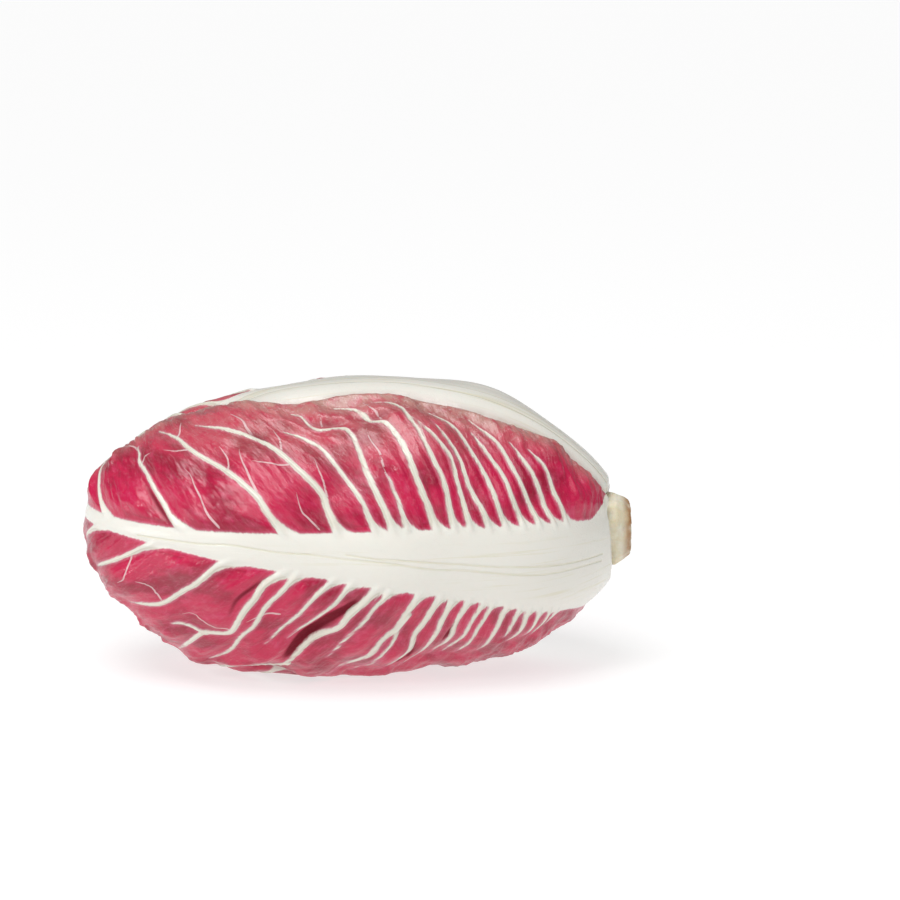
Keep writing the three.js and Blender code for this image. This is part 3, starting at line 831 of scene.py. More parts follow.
# The closed mesh of a leaf: a fine outer face, an inner face a third as fine, and a rim between them
def leaf_mesh(name, outer, inner, fields):
    ids = np.arange(outer.shape[0] * outer.shape[1]).reshape(outer.shape[:2])
    inner = inner[::INNER_STEP, ::INNER_STEP]
    inner_ids = ids.size + np.arange(inner.shape[0] * inner.shape[1]).reshape(inner.shape[:2])
    triangles = stitch(ids[0], inner_ids[0])
    triangles += stitch(ids[-1][::-1], inner_ids[-1][::-1])
    triangles += stitch(ids[::-1, 0], inner_ids[::-1, 0])
    triangles += stitch(ids[:, -1], inner_ids[:, -1])
    quads = np.concatenate([grid_quads(ids, False), grid_quads(inner_ids, True)])
    points = np.concatenate([outer.reshape(-1, 3), inner.reshape(-1, 3)])
    mesh = make_mesh(name, points, quads, triangles)
    for key, field in fields.items():
        under = field[::INNER_STEP, ::INNER_STEP] * (key not in OUTER_ONLY)
        width = () if field.ndim == 2 else (3,)
        set_attribute(mesh, key, np.concatenate([field.reshape(-1, *width), under.reshape(-1, *width)]))
    return mesh


# Node trees, for materials and for geometry
class Nodes:
    def __init__(self, tree):
        self.tree = tree

    def add(self, kind, values=(), **settings):
        node = self.tree.nodes.new(kind)
        for key, value in settings.items():
            setattr(node, key, value)
        for socket, value in dict(values).items():
            self.feed(node.inputs[socket], value)
        return node

    def feed(self, socket, value):
        if isinstance(value, bpy.types.NodeSocket):
            self.tree.links.new(value, socket)
        else:
            socket.default_value = value

    def math(self, operation, *values):
        node = self.add("ShaderNodeMath", operation=operation)
        for socket, value in zip(node.inputs, values):
            self.feed(socket, value)
        return node.outputs[0]

    def vector(self, operation, a, b):
        node = self.add("ShaderNodeVectorMath", operation=operation)
        self.feed(node.inputs[0], a)
        self.feed(node.inputs[3 if operation == "SCALE" else 1], b)
        return node.outputs[0]

    def ramp(self, value, low, high, start=0.0, end=1.0):
        node = self.add("ShaderNodeMapRange", interpolation_type="SMOOTHSTEP")
        for socket, item in zip(node.inputs, (value, low, high, start, end)):
            self.feed(socket, item)
        return node.outputs[0]

    def noise(self, vector, scale, detail=2.0, roughness=0.5):
        node = self.add("ShaderNodeTexNoise")
        self.feed(node.inputs["Vector"], vector)
        self.feed(node.inputs["Scale"], scale)
        node.inputs["Detail"].default_value = detail
        node.inputs["Roughness"].default_value = roughness
        return node.outputs[0]

    def mix(self, factor, a, b, blend="MIX"):
        node = self.add("ShaderNodeMix", data_type="RGBA", blend_type=blend)
        self.feed(node.inputs[0], factor)
        self.feed(node.inputs[6], a)
        self.feed(node.inputs[7], b)
        return node.outputs[2]

    def attribute(self, name):
        return self.add("ShaderNodeAttribute", attribute_name=name)


def add_socket(tree, way, name, kind, default=None):
    socket = tree.interface.new_socket(name=name, in_out=way, socket_type="NodeSocket" + kind)
    if default is not None:
        socket.default_value = default


def new_group(name, kind, inputs, outputs):
    tree = bpy.data.node_groups.new(name, kind)
    for described in inputs:
        add_socket(tree, "INPUT", *described)
    for described in outputs:
        add_socket(tree, "OUTPUT", *described)
    nodes = Nodes(tree)
    return tree, nodes, nodes.add("NodeGroupInput").outputs, nodes.add("NodeGroupOutput").inputs


# The end of each geometry tree: real geometry with its material
def finish_tree(nodes, geometry, given, result):
    whole = nodes.add("GeometryNodeRealizeInstances", {"Geometry": geometry}).outputs[0]
    dressed = nodes.add("GeometryNodeSetMaterial", {"Geometry": whole, "Material": given["Material"]})
    nodes.feed(result[0], dressed.outputs[0])


# Raises the veins, puffs out the blade between them and wrinkles it, along each point's own outward way
def leaf_relief_tree():
    tree, nodes, given, result = new_group("leaf_relief", "GeometryNodeTree", [
        ("Geometry", "Geometry"), ("Vein Height", "Float", 1.1), ("Puff Height", "Float", 1.5),
        ("Wrinkle Height", "Float", 1.8), ("Wrinkle Pitch", "Float", 0.14), ("Seed", "Float", 0.0),
        ("Material", "Material")], [("Geometry", "Geometry")])
    tree.is_modifier = True

    def named(name, kind="FLOAT"):
        node = nodes.add("GeometryNodeInputNamedAttribute", data_type=kind)
        node.inputs["Name"].default_value = name
        return node.outputs[0]

    flow = named("flow", "FLOAT_VECTOR")
    seeded = nodes.vector("ADD", flow, nodes.vector("SCALE", (0.0, 0.0, 1.0), given["Seed"]))
    across = nodes.vector("MULTIPLY", seeded, (1.0, 0.34, 1.0))
    folds_noise = nodes.noise(across, given["Wrinkle Pitch"], 3.0, 0.55)
    fine_noise = nodes.noise(across, nodes.math("MULTIPLY", given["Wrinkle Pitch"], 3.2), 2.0)
    wrinkle = nodes.math("MULTIPLY_ADD", nodes.math("SUBTRACT", fine_noise, 0.5), 0.45,
                         nodes.math("SUBTRACT", folds_noise, 0.5))
    puff = named("puff")
    height = nodes.math("MULTIPLY", named("rise"), given["Vein Height"])
    height = nodes.math("MULTIPLY_ADD", puff, given["Puff Height"], height)
    crumple = nodes.math("MULTIPLY", wrinkle, nodes.math("MULTIPLY", given["Wrinkle Height"], 2.0))
    height = nodes.math("MULTIPLY_ADD", crumple, puff, height)
    height = nodes.math("MULTIPLY", height, named("free"))
    offset = nodes.vector("SCALE", named("lift", "FLOAT_VECTOR"), nodes.math("MULTIPLY", height, MM))
    moved = nodes.add("GeometryNodeSetPosition", {"Geometry": given["Geometry"], "Offset": offset})
    finish_tree(nodes, moved.outputs[0], given, result)
    return tree


def set_inputs(modifier, values):
    for item in modifier.node_group.interface.items_tree:
        if item.item_type == "SOCKET" and item.in_out == "INPUT" and item.name in values:
            modifier[item.identifier] = values[item.name]


# Turns the result of a piece's geometry nodes into its own plain mesh
def settle(piece):
    graph = bpy.context.evaluated_depsgraph_get()
    graph.update()
    plain = bpy.data.meshes.new_from_object(piece.evaluated_get(graph), depsgraph=graph)
    piece.modifiers.clear()
    piece.data = plain
    plain.name = piece.name
    return piece


def place_object(name, mesh):
    piece = bpy.data.objects.new(name, mesh)
    bpy.context.scene.collection.objects.link(piece)
    return piece


# Leaf colours
CRIMSON = (0.56, 0.003, 0.062, 1)
DEEP_CRIMSON = (0.33, 0.0, 0.030, 1)
# Painted shade for the fold valleys, not a colour the leaf has
FOLD_SHADE_CRIMSON = (0.19, 0.0, 0.014, 1)
ROSE = (0.62, 0.06, 0.15, 1)
# Dull rose serves both real weathering and painted top sheen
DULL_ROSE = (0.51, 0.27, 0.23, 1)
EDGE_PINK = (0.72, 0.22, 0.33, 1)
RIB_WHITE = (0.84, 0.82, 0.75, 1)
RIB_YELLOW = (0.70, 0.66, 0.45, 1)
VEIN_CREAM = (0.74, 0.72, 0.58, 1)
# Painted shade for one side of the raised veins
PAINTED_VEIN_SHADE = (0.50, 0.47, 0.36, 1)
VEIN_PINK = (0.80, 0.60, 0.60, 1)


# Where the red starts: the distance from the white, feathered by streaks that run with the side veins
def feathered_red_group():
    tree, nodes, given, result = new_group("feathered_red", "ShaderNodeTree", [
        ("Gap", "Float", 0.0), ("Flow", "Vector"), ("Feather", "Float", 0.8), ("Teeth", "Float", 1.2)],
        [("Red", "Float"), ("Fringe", "Float")])
    long_streaks = nodes.noise(nodes.vector("MULTIPLY", given["Flow"], (1.0, 0.3, 1.0)), 0.9, 3.0, 0.6)
    teeth = nodes.math("MULTIPLY", nodes.math("SUBTRACT", long_streaks, 0.5), given["Teeth"])
    gap = nodes.math("MULTIPLY_ADD", teeth, 2.0, given["Gap"])
    nodes.feed(result["Red"], nodes.ramp(gap, 0.0, given["Feather"]))
    fringe_end = nodes.math("MULTIPLY", given["Feather"], 2.2)
    nodes.feed(result["Fringe"], nodes.ramp(gap, 0.2, fringe_end, 1.0, 0.0))
    return tree


# The red of the blade: mottled, streaked with the veins, paler at its fringe and dull where it is weathered
# and where painted sheen lies on its upward side
def blade_colour_group():
    tree, nodes, given, result = new_group("blade_colour", "ShaderNodeTree", [
        ("Flow", "Vector"), ("Fringe", "Float", 0.0), ("Weathering", "Float", 0.0)],
        [("Color", "Color")])
    patches = nodes.noise(given["Flow"], 0.055, 3.0, 0.6)
    mottle = nodes.noise(nodes.vector("MULTIPLY", given["Flow"], (1.0, 0.6, 1.0)), 0.3, 4.0, 0.65)
    streaks = nodes.noise(nodes.vector("MULTIPLY", given["Flow"], (1.0, 0.14, 1.0)), 1.3, 3.0, 0.6)
    colour = nodes.mix(nodes.ramp(patches, 0.42, 0.64), CRIMSON, DEEP_CRIMSON)
    colour = nodes.mix(nodes.math("MULTIPLY", nodes.ramp(mottle, 0.5, 0.72), 0.55), colour, ROSE)
    colour = nodes.mix(nodes.math("MULTIPLY", nodes.ramp(streaks, 0.5, 0.75), 0.3), colour, ROSE)
    colour = nodes.mix(nodes.math("MULTIPLY", given["Fringe"], 0.5), colour, EDGE_PINK)
    # Dull rose for weathering and for the painted sheen on the upward side
    wear_and_sheen = nodes.math("MULTIPLY", given["Weathering"], nodes.ramp(mottle, 0.3, 0.6, 0.35, 1.0))
    nodes.feed(result["Color"], nodes.mix(wear_and_sheen, colour, DULL_ROSE))
    return tree


# The white of midrib and veins, with faint yellow lines and fibres that run along the midrib
def rib_colour_group():
    tree, nodes, given, result = new_group("rib_colour", "ShaderNodeTree", [
        ("Flow", "Vector"), ("Depth In Rib", "Float", 0.0)], [("Color", "Color"), ("Fibre", "Float")])
    stretched = nodes.vector("MULTIPLY", given["Flow"], (0.035, 1.0, 1.0))
    lines = nodes.noise(stretched, 0.55, 4.0, 0.65)
    fibre = nodes.noise(nodes.vector("MULTIPLY", given["Flow"], (0.06, 1.0, 1.0)), 1.9, 3.0, 0.6)
    inside = nodes.ramp(given["Depth In Rib"], 1.0, 7.0)
    yellow = nodes.math("MULTIPLY", nodes.ramp(lines, 0.52, 0.68), inside)
    colour = nodes.mix(nodes.math("MULTIPLY", yellow, 0.5), RIB_WHITE, RIB_YELLOW)
    nodes.feed(result["Color"], colour)
    nodes.feed(result["Fibre"], fibre)
    return tree


# A net of the finest veins
def vein_net_group():
    tree, nodes, given, result = new_group("vein_net", "ShaderNodeTree", [
        ("Flow", "Vector"), ("Cell", "Float", 4.0)], [("Line", "Float")])
    warp = nodes.add("ShaderNodeTexNoise", {"Vector": given["Flow"], "Scale": 0.6, "Detail": 3.0})
    bent = nodes.vector("ADD", nodes.vector("MULTIPLY", given["Flow"], (1.0, 0.45, 1.0)),
                        nodes.vector("SCALE", warp.outputs["Color"], 4.0))
    cells = nodes.add("ShaderNodeTexVoronoi", {"Vector": bent}, feature="DISTANCE_TO_EDGE")
    nodes.feed(cells.inputs["Scale"], nodes.math("DIVIDE", 1.0, given["Cell"]))
    line = nodes.ramp(cells.outputs["Distance"], 0.0, 0.07, 1.0, 0.0)
    kept = nodes.ramp(nodes.noise(given["Flow"], 0.7, 2.0), 0.42, 0.62)
    nodes.feed(result["Line"], nodes.math("MULTIPLY", line, kept))
    return tree


def build_groups():
    return {"red": feathered_red_group(), "blade": blade_colour_group(), "rib": rib_colour_group(),
            "net": vein_net_group()}


def use_group(nodes, tree, values):
    node = nodes.add("ShaderNodeGroup", node_tree=tree)
    for name, value in values.items():
        nodes.feed(node.inputs[name], value)
    return node.outputs


def new_material(name):
    material = bpy.data.materials.new(name)
    material.use_nodes = True
    material.node_tree.nodes.clear()
    nodes = Nodes(material.node_tree)
    shader = nodes.add("ShaderNodeBsdfPrincipled")
    output = nodes.add("ShaderNodeOutputMaterial")
    nodes.feed(output.inputs["Surface"], shader.outputs[0])
    return material, nodes, shader


# The masks of a leaf's surface, read from what its mesh carries
def leaf_masks(nodes, wear_and_sheen_amount):
    def carried(name):
        return nodes.attribute(name).outputs["Fac"]

    flank = carried("flank")
    # Margin wear together with painted top sheen
    wear_and_sheen = nodes.math("MULTIPLY", carried("dry_and_top_sheen"), wear_and_sheen_amount)
    edge = nodes.ramp(carried("edge_gap"), 0.5, 4.0, 0.5 * wear_and_sheen_amount, 0.0)
    thin_gap = nodes.math("SUBTRACT", nodes.math("ABSOLUTE", carried("thin_away")), carried("thin_half"))
    return {
        "flow": nodes.attribute("flow").outputs["Vector"],
        "rib_flow": nodes.attribute("rib_flow").outputs["Vector"],
        "white_gap": carried("white_gap"),
        "rib_gap": carried("rib_gap"),
        "shelter": carried("shelter"),
        "wear_and_sheen": nodes.math("MAXIMUM", wear_and_sheen, edge),
        "thin_vein": nodes.ramp(thin_gap, -0.12, 0.14, 0.75, 0.0),
        "crease_shade": nodes.ramp(carried("crease_shade"), 0.05, 0.9),
        "groove": nodes.ramp(carried("groove"), 0.0, 0.55, 1.0, 0.0),
        # Painted shade along one side of each white vein
        "vein_side_shade": nodes.math("MULTIPLY", nodes.ramp(flank, 0.1, 0.7),
                                  nodes.ramp(flank, 0.8, 1.3, 0.4, 0.0)),
        # Painted shadow in the blade along one side of each vein
        "vein_cast_shadow": nodes.math("MULTIPLY", nodes.ramp(flank, 0.9, 1.25),
                                  nodes.ramp(flank, 1.3, 1.95, 0.45, 0.0)),
    }


# The colour of a leaf: its blade, then its white veins and midrib, with painted shade in its folds and beside
# its veins, and painted shade where other leaves shelter it
def leaf_colour(nodes, masks, red, blade, rib, net, cover_shade):
    hairlines = nodes.math("MULTIPLY", net["Line"], nodes.math("MULTIPLY_ADD", masks["wear_and_sheen"], 0.5, 0.04))
    blade_colour = nodes.mix(hairlines, blade["Color"], VEIN_PINK)
    blade_colour = nodes.mix(masks["thin_vein"], blade_colour, VEIN_PINK)
    # Painted shadow: a deep crimson line in the blade beside each raised vein
    blade_colour = nodes.mix(masks["vein_cast_shadow"], blade_colour, DEEP_CRIMSON)
    # Painted shade: the folds are darkened towards a dark crimson
    blade_colour = nodes.mix(masks["crease_shade"], blade_colour, FOLD_SHADE_CRIMSON)
    in_vein = nodes.ramp(masks["rib_gap"], 0.5, 5.0, 0.0, 0.5)
    # Painted shade: one side of each vein is greyed as if its raised ridge shaded it
    vein_colour = nodes.mix(masks["vein_side_shade"], nodes.mix(in_vein, rib["Color"], VEIN_CREAM), PAINTED_VEIN_SHADE)
    vein_colour = nodes.mix(nodes.math("MULTIPLY", masks["groove"], 0.5), vein_colour, RIB_YELLOW)
    colour = nodes.mix(red["Red"], vein_colour, blade_colour)
    # Painted shade: where other leaves cover it, the colour is darkened towards deep crimson
    return nodes.mix(nodes.math("MULTIPLY", masks["shelter"], cover_shade), colour, DEEP_CRIMSON, "MULTIPLY")


# The finest relief of a leaf, in millimetres
def leaf_bump(nodes, masks, red, rib, net, grain):
    stretched = nodes.vector("MULTIPLY", masks["flow"], (1.0, 0.4, 1.0))
    crinkles = nodes.math("MULTIPLY", nodes.noise(stretched, 0.45, 3.0, 0.52), red["Red"])
    fibres = nodes.math("MULTIPLY", rib["Fibre"], nodes.math("SUBTRACT", 1.0, red["Red"]))
    relief = nodes.math("MULTIPLY", net["Line"], 0.04)
    for layer, height in ((masks["thin_vein"], 0.15), (masks["groove"], -0.2), (grain, 0.05), (crinkles, 0.6),
                          (fibres, 0.06)):
        relief = nodes.math("MULTIPLY_ADD", layer, height, relief)
    return nodes.add("ShaderNodeBump", {"Strength": 0.8, "Distance": MM, "Height": relief}).outputs[0]


# The waxy sheen over a leaf
COAT = 0.45
COAT_ROUGHNESS = 0.21


def leaf_material(groups, name, wear_and_sheen_amount, cover_shade):
    material, nodes, shader = new_material(name)
    masks = leaf_masks(nodes, wear_and_sheen_amount)
    flow = masks["flow"]
    inside = nodes.math("MULTIPLY", masks["rib_gap"], -1.0)
    red = use_group(nodes, groups["red"],
                    {"Gap": masks["white_gap"], "Flow": flow, "Feather": 0.6, "Teeth": 0.5})
    blade = use_group(nodes, groups["blade"],
                      {"Flow": flow, "Fringe": red["Fringe"], "Weathering": masks["wear_and_sheen"]})
    rib = use_group(nodes, groups["rib"], {"Flow": masks["rib_flow"], "Depth In Rib": inside})
    net = use_group(nodes, groups["net"], {"Flow": flow, "Cell": 2.4})
    grain = nodes.noise(flow, 1.3, 3.0, 0.5)
    roughness = nodes.ramp(grain, 0.3, 0.75, 0.28, 0.42)
    bump = leaf_bump(nodes, masks, red, rib, net, grain)
    for socket, value in {
        "Base Color": leaf_colour(nodes, masks, red, blade, rib, net, cover_shade),
        "Roughness": nodes.math("MULTIPLY_ADD", masks["crease_shade"], 0.5, roughness),
        "Normal": bump,
        "Coat Normal": bump,
        "Coat Weight": nodes.math("MULTIPLY_ADD", masks["crease_shade"], -COAT, COAT),
        "Coat Roughness": COAT_ROUGHNESS,
        "Specular IOR Level": 0.42,
        "Subsurface Weight": 0.08,
        "Subsurface Radius": (1.0, 0.45, 0.35),
        "Subsurface Scale": 0.002,
    }.items():
        nodes.feed(shader.inputs[socket], value)
    return material


# The heart bud: red leaf tips, streaked along the head
def bud_material():
    material, nodes, shader = new_material("heart_leaves")
    place = nodes.add("ShaderNodeTexCoord").outputs["Object"]
    streaks = nodes.noise(nodes.vector("MULTIPLY", place, (0.12, 1.0, 1.0)), 300.0, 3.0)
    nodes.feed(shader.inputs["Base Color"], nodes.mix(nodes.ramp(streaks, 0.4, 0.7), DEEP_CRIMSON, EDGE_PINK))
    nodes.feed(shader.inputs["Roughness"], nodes.ramp(streaks, 0.3, 0.7, 0.4, 0.55))
    return material


# Stem colours, and where the cut face is browned, in millimetres
CREAM = (0.72, 0.64, 0.44, 1)
PALE_CREAM = (0.80, 0.76, 0.62, 1)
BROWN = (0.36, 0.16, 0.05, 1)
BROWNING_RADII = (6.4, 9.8)
BROWNING_DEPTHS = (0.6, 3.6)
RADIUS_WANDER = 5.0
DEPTH_WANDER = 4.0


# The stem: cream flesh, blotched, with a browned rim round the cut
def stem_material():
    material, nodes, shader = new_material("stem_flesh")
    place = nodes.add("ShaderNodeTexCoord").outputs["Object"]
    centred = nodes.vector("SUBTRACT", place, tuple(HEAD_MIDDLE))
    flat = nodes.vector("MULTIPLY", centred, (0.0, 1.0, 1.0))
    radius = nodes.add("ShaderNodeVectorMath", {0: flat}, operation="LENGTH").outputs["Value"]
    along = nodes.add("ShaderNodeSeparateXYZ", {0: centred}).outputs[0]
    away = nodes.math("SUBTRACT", STEM_END * MM, along)
    blotch = nodes.noise(place, 160.0, 4.0, 0.6)
    fine = nodes.noise(place, 900.0, 3.0, 0.6)
    wander = nodes.math("SUBTRACT", blotch, 0.5)
    radius = nodes.math("MULTIPLY_ADD", wander, RADIUS_WANDER * MM, radius)
    away = nodes.math("MULTIPLY_ADD", wander, DEPTH_WANDER * MM, away)
    cut = nodes.ramp(away, *(depth * MM for depth in BROWNING_DEPTHS), 1.0, 0.0)
    rim = nodes.math("MULTIPLY", nodes.ramp(radius, *(reach * MM for reach in BROWNING_RADII)), cut)
    colour = nodes.mix(nodes.ramp(blotch, 0.35, 0.65), PALE_CREAM, CREAM)
    colour = nodes.mix(nodes.math("MULTIPLY", rim, nodes.ramp(blotch, 0.3, 0.6, 0.45, 0.95)), colour, BROWN)
    nodes.feed(shader.inputs["Base Color"], colour)
    nodes.feed(shader.inputs["Roughness"], nodes.ramp(fine, 0.3, 0.7, 0.5, 0.75))
    relief = nodes.math("MULTIPLY_ADD", fine, 0.35, nodes.math("MULTIPLY", blotch, 0.6))
    bump = nodes.add("ShaderNodeBump", {"Strength": 0.7, "Distance": MM, "Height": relief})
    nodes.feed(shader.inputs["Normal"], bump.outputs[0])
    shader.inputs["Subsurface Weight"].default_value = 0.1
    shader.inputs["Subsurface Scale"].default_value = 0.003
    return material


# The stem's profile, as radius and place along the head, from the cut face to the cone's tip inside
STEM_PROFILE = [
    (0.2, STEM_END), (4.0, STEM_END + 0.1), (STEM_FACE_RADIUS - 0.8, STEM_END),
    (STEM_FACE_RADIUS, STEM_END - 0.5), (STEM_FACE_RADIUS + 1.2, STEM_END - 1.8),
    (STEM_RADIUS, STEM_END - 5), (STEM_RADIUS, STEM_END - 10), (STEM_RADIUS - 2.6, 82),
    (STEM_RADIUS - 5.6, 72), (STEM_RADIUS - 7.2, 60), (STEM_RADIUS - 9, 50), (0.2, 46),
]
STEM_SIDES = 120
STEM_RINGS_PER_STEP = 8
STEM_OVAL = 0.03
SCAR_RIDGE = 0.35
FIBRE_RIDGE = 0.18
SIDE_SETBACK = 0.5
SIDE_FADE = 2
RIDGE_FADE_RADIUS = 8
FACE_ROUGHNESS = 0.14
FACE_GRAIN = 3.2


# The stem turned about the head's axis, roughened by leaf scars round its side
def stem_mesh():
    knots = np.array(STEM_PROFILE)
    steps = np.linspace(0, len(knots) - 1, (len(knots) - 1) * STEM_RINGS_PER_STEP + 1)
    radius = np.interp(steps, range(len(knots)), knots[:, 0])[:, None]
    along = np.interp(steps, range(len(knots)), knots[:, 1])[:, None]
    around = np.linspace(0, 2 * math.pi, STEM_SIDES, endpoint=False)[None, :]
    side = np.clip((STEM_END - along) / SIDE_FADE, 0, 1)
    scars = SCAR_RIDGE * np.sin(around * 3 + along * 0.55)
    fibres = FIBRE_RIDGE * np.sin(around * 11 + along * 0.3)
    ridges = (scars + fibres - SIDE_SETBACK) * np.minimum(1, radius / RIDGE_FADE_RADIUS)
    turned = np.broadcast_arrays(along, radius * np.cos(around), radius * np.sin(around))
    rough = swell(np.stack(turned, -1), FACE_GRAIN, 5)
    wide = radius * (1 + STEM_OVAL * np.sin(2 * around + 1)) + side * ridges
    face = along - FACE_ROUGHNESS * (1 - side) * rough
    points = np.stack([face + 0 * wide, wide * np.cos(around), wide * np.sin(around)], -1)
    ids = np.arange(points.shape[0] * points.shape[1]).reshape(points.shape[:2])
    ring = np.concatenate([ids, ids[:, :1]], 1)
    count = ids.size
    ends = np.array([[STEM_END, 0, 0], [knots[-1, 1], 0, 0]])
    caps = [(count, ring[0, k], ring[0, k + 1]) for k in range(STEM_SIDES)]
    caps += [(count + 1, ring[-1, k + 1], ring[-1, k]) for k in range(STEM_SIDES)]
    points = np.concatenate([points.reshape(-1, 3), ends])
    return make_mesh("stem_flesh", points, grid_quads(ring, True), caps)


# The bundles on the cut face: how far each strays in millimetres, how its size varies, and its shape
BUNDLE_JITTER = (0.6, 0.6, 0.05)
BUNDLE_SIZES = (0.6, 1.25)
BUNDLE_SHAPE = (1.3, 1.0, 0.5)


# The vascular bundles that show as a ring of small raised dots on the cut face
def bundle_ring_tree():
    tree, nodes, given, result = new_group("bundle_ring", "GeometryNodeTree", [
        ("Geometry", "Geometry"), ("Count", "Int", 22), ("Ring Radius", "Float", 6 * MM),
        ("Bundle Size", "Float", 0.5 * MM), ("Seed", "Int", 3), ("Material", "Material")],
        [("Geometry", "Geometry")])
    tree.is_modifier = True
    circle = nodes.add("GeometryNodeMeshCircle", {"Vertices": given["Count"], "Radius": given["Ring Radius"]})
    reach = Vector(BUNDLE_JITTER) * MM
    jitter = nodes.add("FunctionNodeRandomValue", {"Seed": given["Seed"], 0: -reach, 1: reach},
                       data_type="FLOAT_VECTOR")
    loose = nodes.add("GeometryNodeSetPosition", {"Geometry": circle.outputs[0], "Offset": jitter.outputs[0]})
    dot = nodes.add("GeometryNodeMeshIcoSphere", {"Radius": given["Bundle Size"], "Subdivisions": 2})
    size = nodes.add("FunctionNodeRandomValue",
                     {"Seed": given["Seed"], 2: BUNDLE_SIZES[0], 3: BUNDLE_SIZES[1]}, data_type="FLOAT")
    dots = nodes.add("GeometryNodeInstanceOnPoints", {"Points": loose.outputs[0], "Instance": dot.outputs[0]})
    nodes.feed(dots.inputs["Scale"], nodes.vector("SCALE", BUNDLE_SHAPE, size.outputs[1]))
    finish_tree(nodes, dots.outputs[0], given, result)
    return tree


def build_stem(material):
    stem = place_object("stem_flesh", stem_mesh())
    stem.data.materials.append(material)
    dots = place_object("stem_bundles", bpy.data.meshes.new("stem_bundles"))
    modifier = dots.modifiers.new("bundle_ring", "NODES")
    modifier.node_group = bundle_ring_tree()
    set_inputs(modifier, {"Material": material})
    settle(dots)
    face = Vector(HEAD_MIDDLE) + Vector((STEM_END * MM, 0, 0))
    dots.data.transform(Matrix.Translation(face) @ Matrix.Rotation(math.pi / 2, 4, "Y"))
    for piece in (stem, dots):
        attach(piece, "root")
    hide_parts("stem")


# For each ring of leaves, how much weathering and painted top sheen it gets, and how much painted shade where
# other leaves shelter it
LEAF_WEAR_AND_SHADE = {"outer_leaf": (0.75, 0.25), "wrapper_leaf": (0.35, 0.5), "inner_leaf": (0.1, 0.6)}


def build_leaves(groups):
    materials = {name: leaf_material(groups, name + "_skin", *wear_and_shade) for name, wear_and_shade in LEAF_WEAR_AND_SHADE.items()}
    materials["young_leaf"] = materials["inner_leaf"]
    relief = leaf_relief_tree()
    ceiling = Ceiling()
    index = 0
    for ring in RINGS:
        for place in range(len(ring["turns"])):
            leaf = Leaf(ring, place, index)
            node = f"{ring['name']}_{index + 1}"
            piece = place_object(node + "_blade", leaf_mesh(node, *lay_leaf(leaf, ring, ceiling)))
            modifier = piece.modifiers.new("leaf_relief", "NODES")
            modifier.node_group = relief
            set_inputs(modifier, {"Material": materials[ring["name"]], "Seed": 11.0 * index})
            settle(piece)
            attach(piece, "root")
            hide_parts(node)
            index += 1


def dress_heart(material):
    heart = bpy.data.objects["heart_bud"]
    heart.data.materials.clear()
    heart.data.materials.append(material)


# A white floor, in metres
FLOOR_RADIUS = 40
FLOOR_PLACE = (0, 0, -0.0002)
FLOOR_ALBEDO = 0.4
FLOOR_GLOW = 0.68


def build_floor():
    bpy.ops.mesh.primitive_circle_add(vertices=96, radius=FLOOR_RADIUS, fill_type="NGON",
                                      location=FLOOR_PLACE)
    floor = bpy.context.object
    floor.name = "studio_floor"
    material, nodes, shader = new_material("studio_floor")
    shader.inputs["Base Color"].default_value = (FLOOR_ALBEDO, FLOOR_ALBEDO, FLOOR_ALBEDO, 1)
    shader.inputs["Roughness"].default_value = 0.7
    shader.inputs["Specular IOR Level"].default_value = 0.1
    shader.inputs["Emission Color"].default_value = (1, 1, 1, 1)
    shader.inputs["Emission Strength"].default_value = FLOOR_GLOW
    floor.data.materials.append(material)


# Square soft lights: name, place in metres, width of the square, power
SOFT_LIGHTS = [
    ("window_left", (-0.95, -0.3, 0.10), 0.14, 0.75),
    ("softbox_left", (-0.55, -0.62, 0.55), 0.16, 1.4),
    ("softbox_front", (0.2, -0.8, 1.1), 0.9, 4.2),
]
OVERHEAD_PLACE = (-0.2, -0.22, 1.0)
OVERHEAD_STRENGTH = 1.75
OVERHEAD_ANGLE = math.radians(38)
WORLD_STRENGTH = 0.2
LIT_POINT = (0, 0, 0.04)


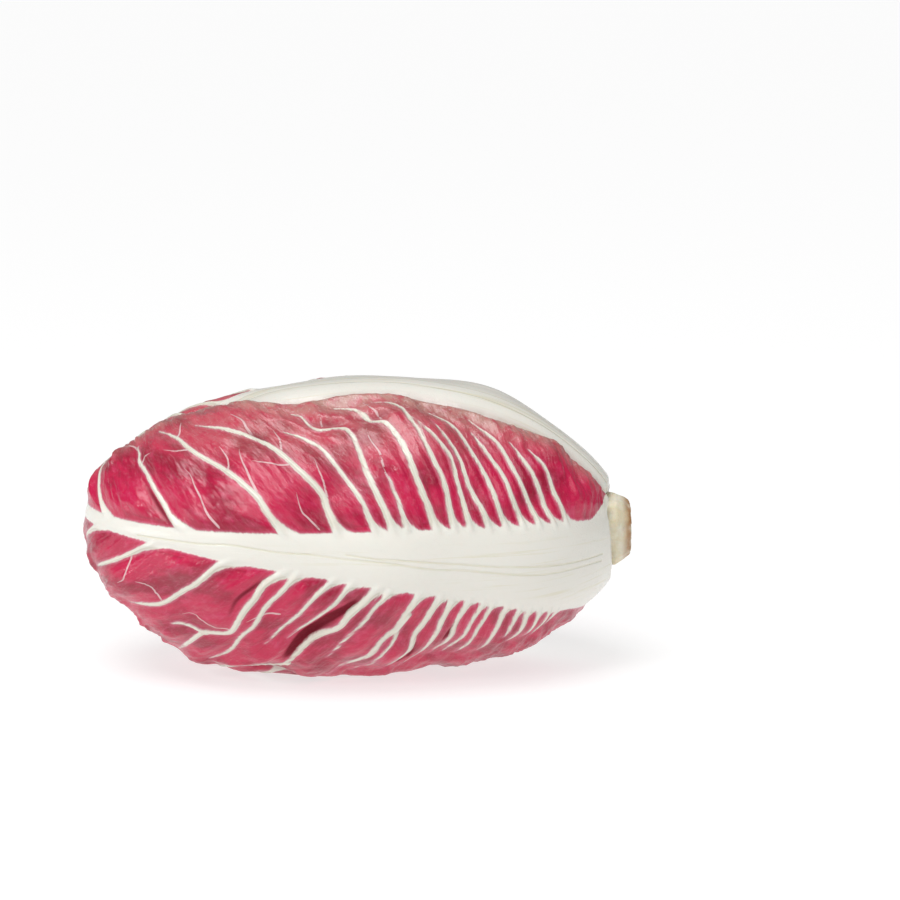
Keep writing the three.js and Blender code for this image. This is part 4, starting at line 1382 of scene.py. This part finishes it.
def add_lamp(name, kind, place, strength):
    light = bpy.data.lights.new(name, kind)
    light.energy = strength
    lamp = bpy.data.objects.new(name, light)
    lamp.location = place
    lamp.rotation_euler = (Vector(LIT_POINT) - Vector(place)).to_track_quat("-Z", "Y").to_euler()
    bpy.context.scene.collection.objects.link(lamp)
    return light


# A white backdrop that lights only faintly, a wide soft light overhead and three soft squares
def build_light():
    world = bpy.data.worlds.new("soft_studio")
    world.use_nodes = True
    nodes = Nodes(world.node_tree)
    backdrop = world.node_tree.nodes["Background"]
    backdrop.inputs["Color"].default_value = (1, 1, 1, 1)
    seen = nodes.add("ShaderNodeLightPath").outputs["Is Camera Ray"]
    nodes.feed(backdrop.inputs["Strength"], nodes.math("MAXIMUM", seen, WORLD_STRENGTH))
    bpy.context.scene.world = world
    add_lamp("overhead", "SUN", OVERHEAD_PLACE, OVERHEAD_STRENGTH).angle = OVERHEAD_ANGLE
    for name, place, size, power in SOFT_LIGHTS:
        add_lamp(name, "AREA", place, power).size = size
    bpy.context.scene.view_settings.view_transform = "Standard"


# The camera, in metres: the middle of the picture lies beside and above the head's middle
CAMERA_ELEVATION = math.radians(11)
CAMERA_DISTANCE = 0.833
CAMERA_LENS_MM = 100
CAMERA_SENSOR_MM = 36
PICTURE_CENTRE_ALONG = 0.0377
PICTURE_CENTRE_UP = 0.0258


def build_camera():
    forward = Vector((0, math.cos(CAMERA_ELEVATION), -math.sin(CAMERA_ELEVATION)))
    upward = Vector((0, math.sin(CAMERA_ELEVATION), math.cos(CAMERA_ELEVATION)))
    target = Vector(HEAD_MIDDLE) + Vector((PICTURE_CENTRE_ALONG, 0, 0)) + PICTURE_CENTRE_UP * upward
    lens = bpy.data.cameras.new("camera")
    lens.lens = CAMERA_LENS_MM
    lens.sensor_width = CAMERA_SENSOR_MM
    camera = bpy.data.objects.new("camera", lens)
    camera.location = target - CAMERA_DISTANCE * forward
    camera.rotation_euler = forward.to_track_quat("-Z", "Y").to_euler()
    bpy.context.scene.collection.objects.link(camera)
    bpy.context.scene.camera = camera


build_camera()
build_leaves(build_groups())
build_stem(stem_material())
dress_heart(bud_material())
build_floor()
build_light()
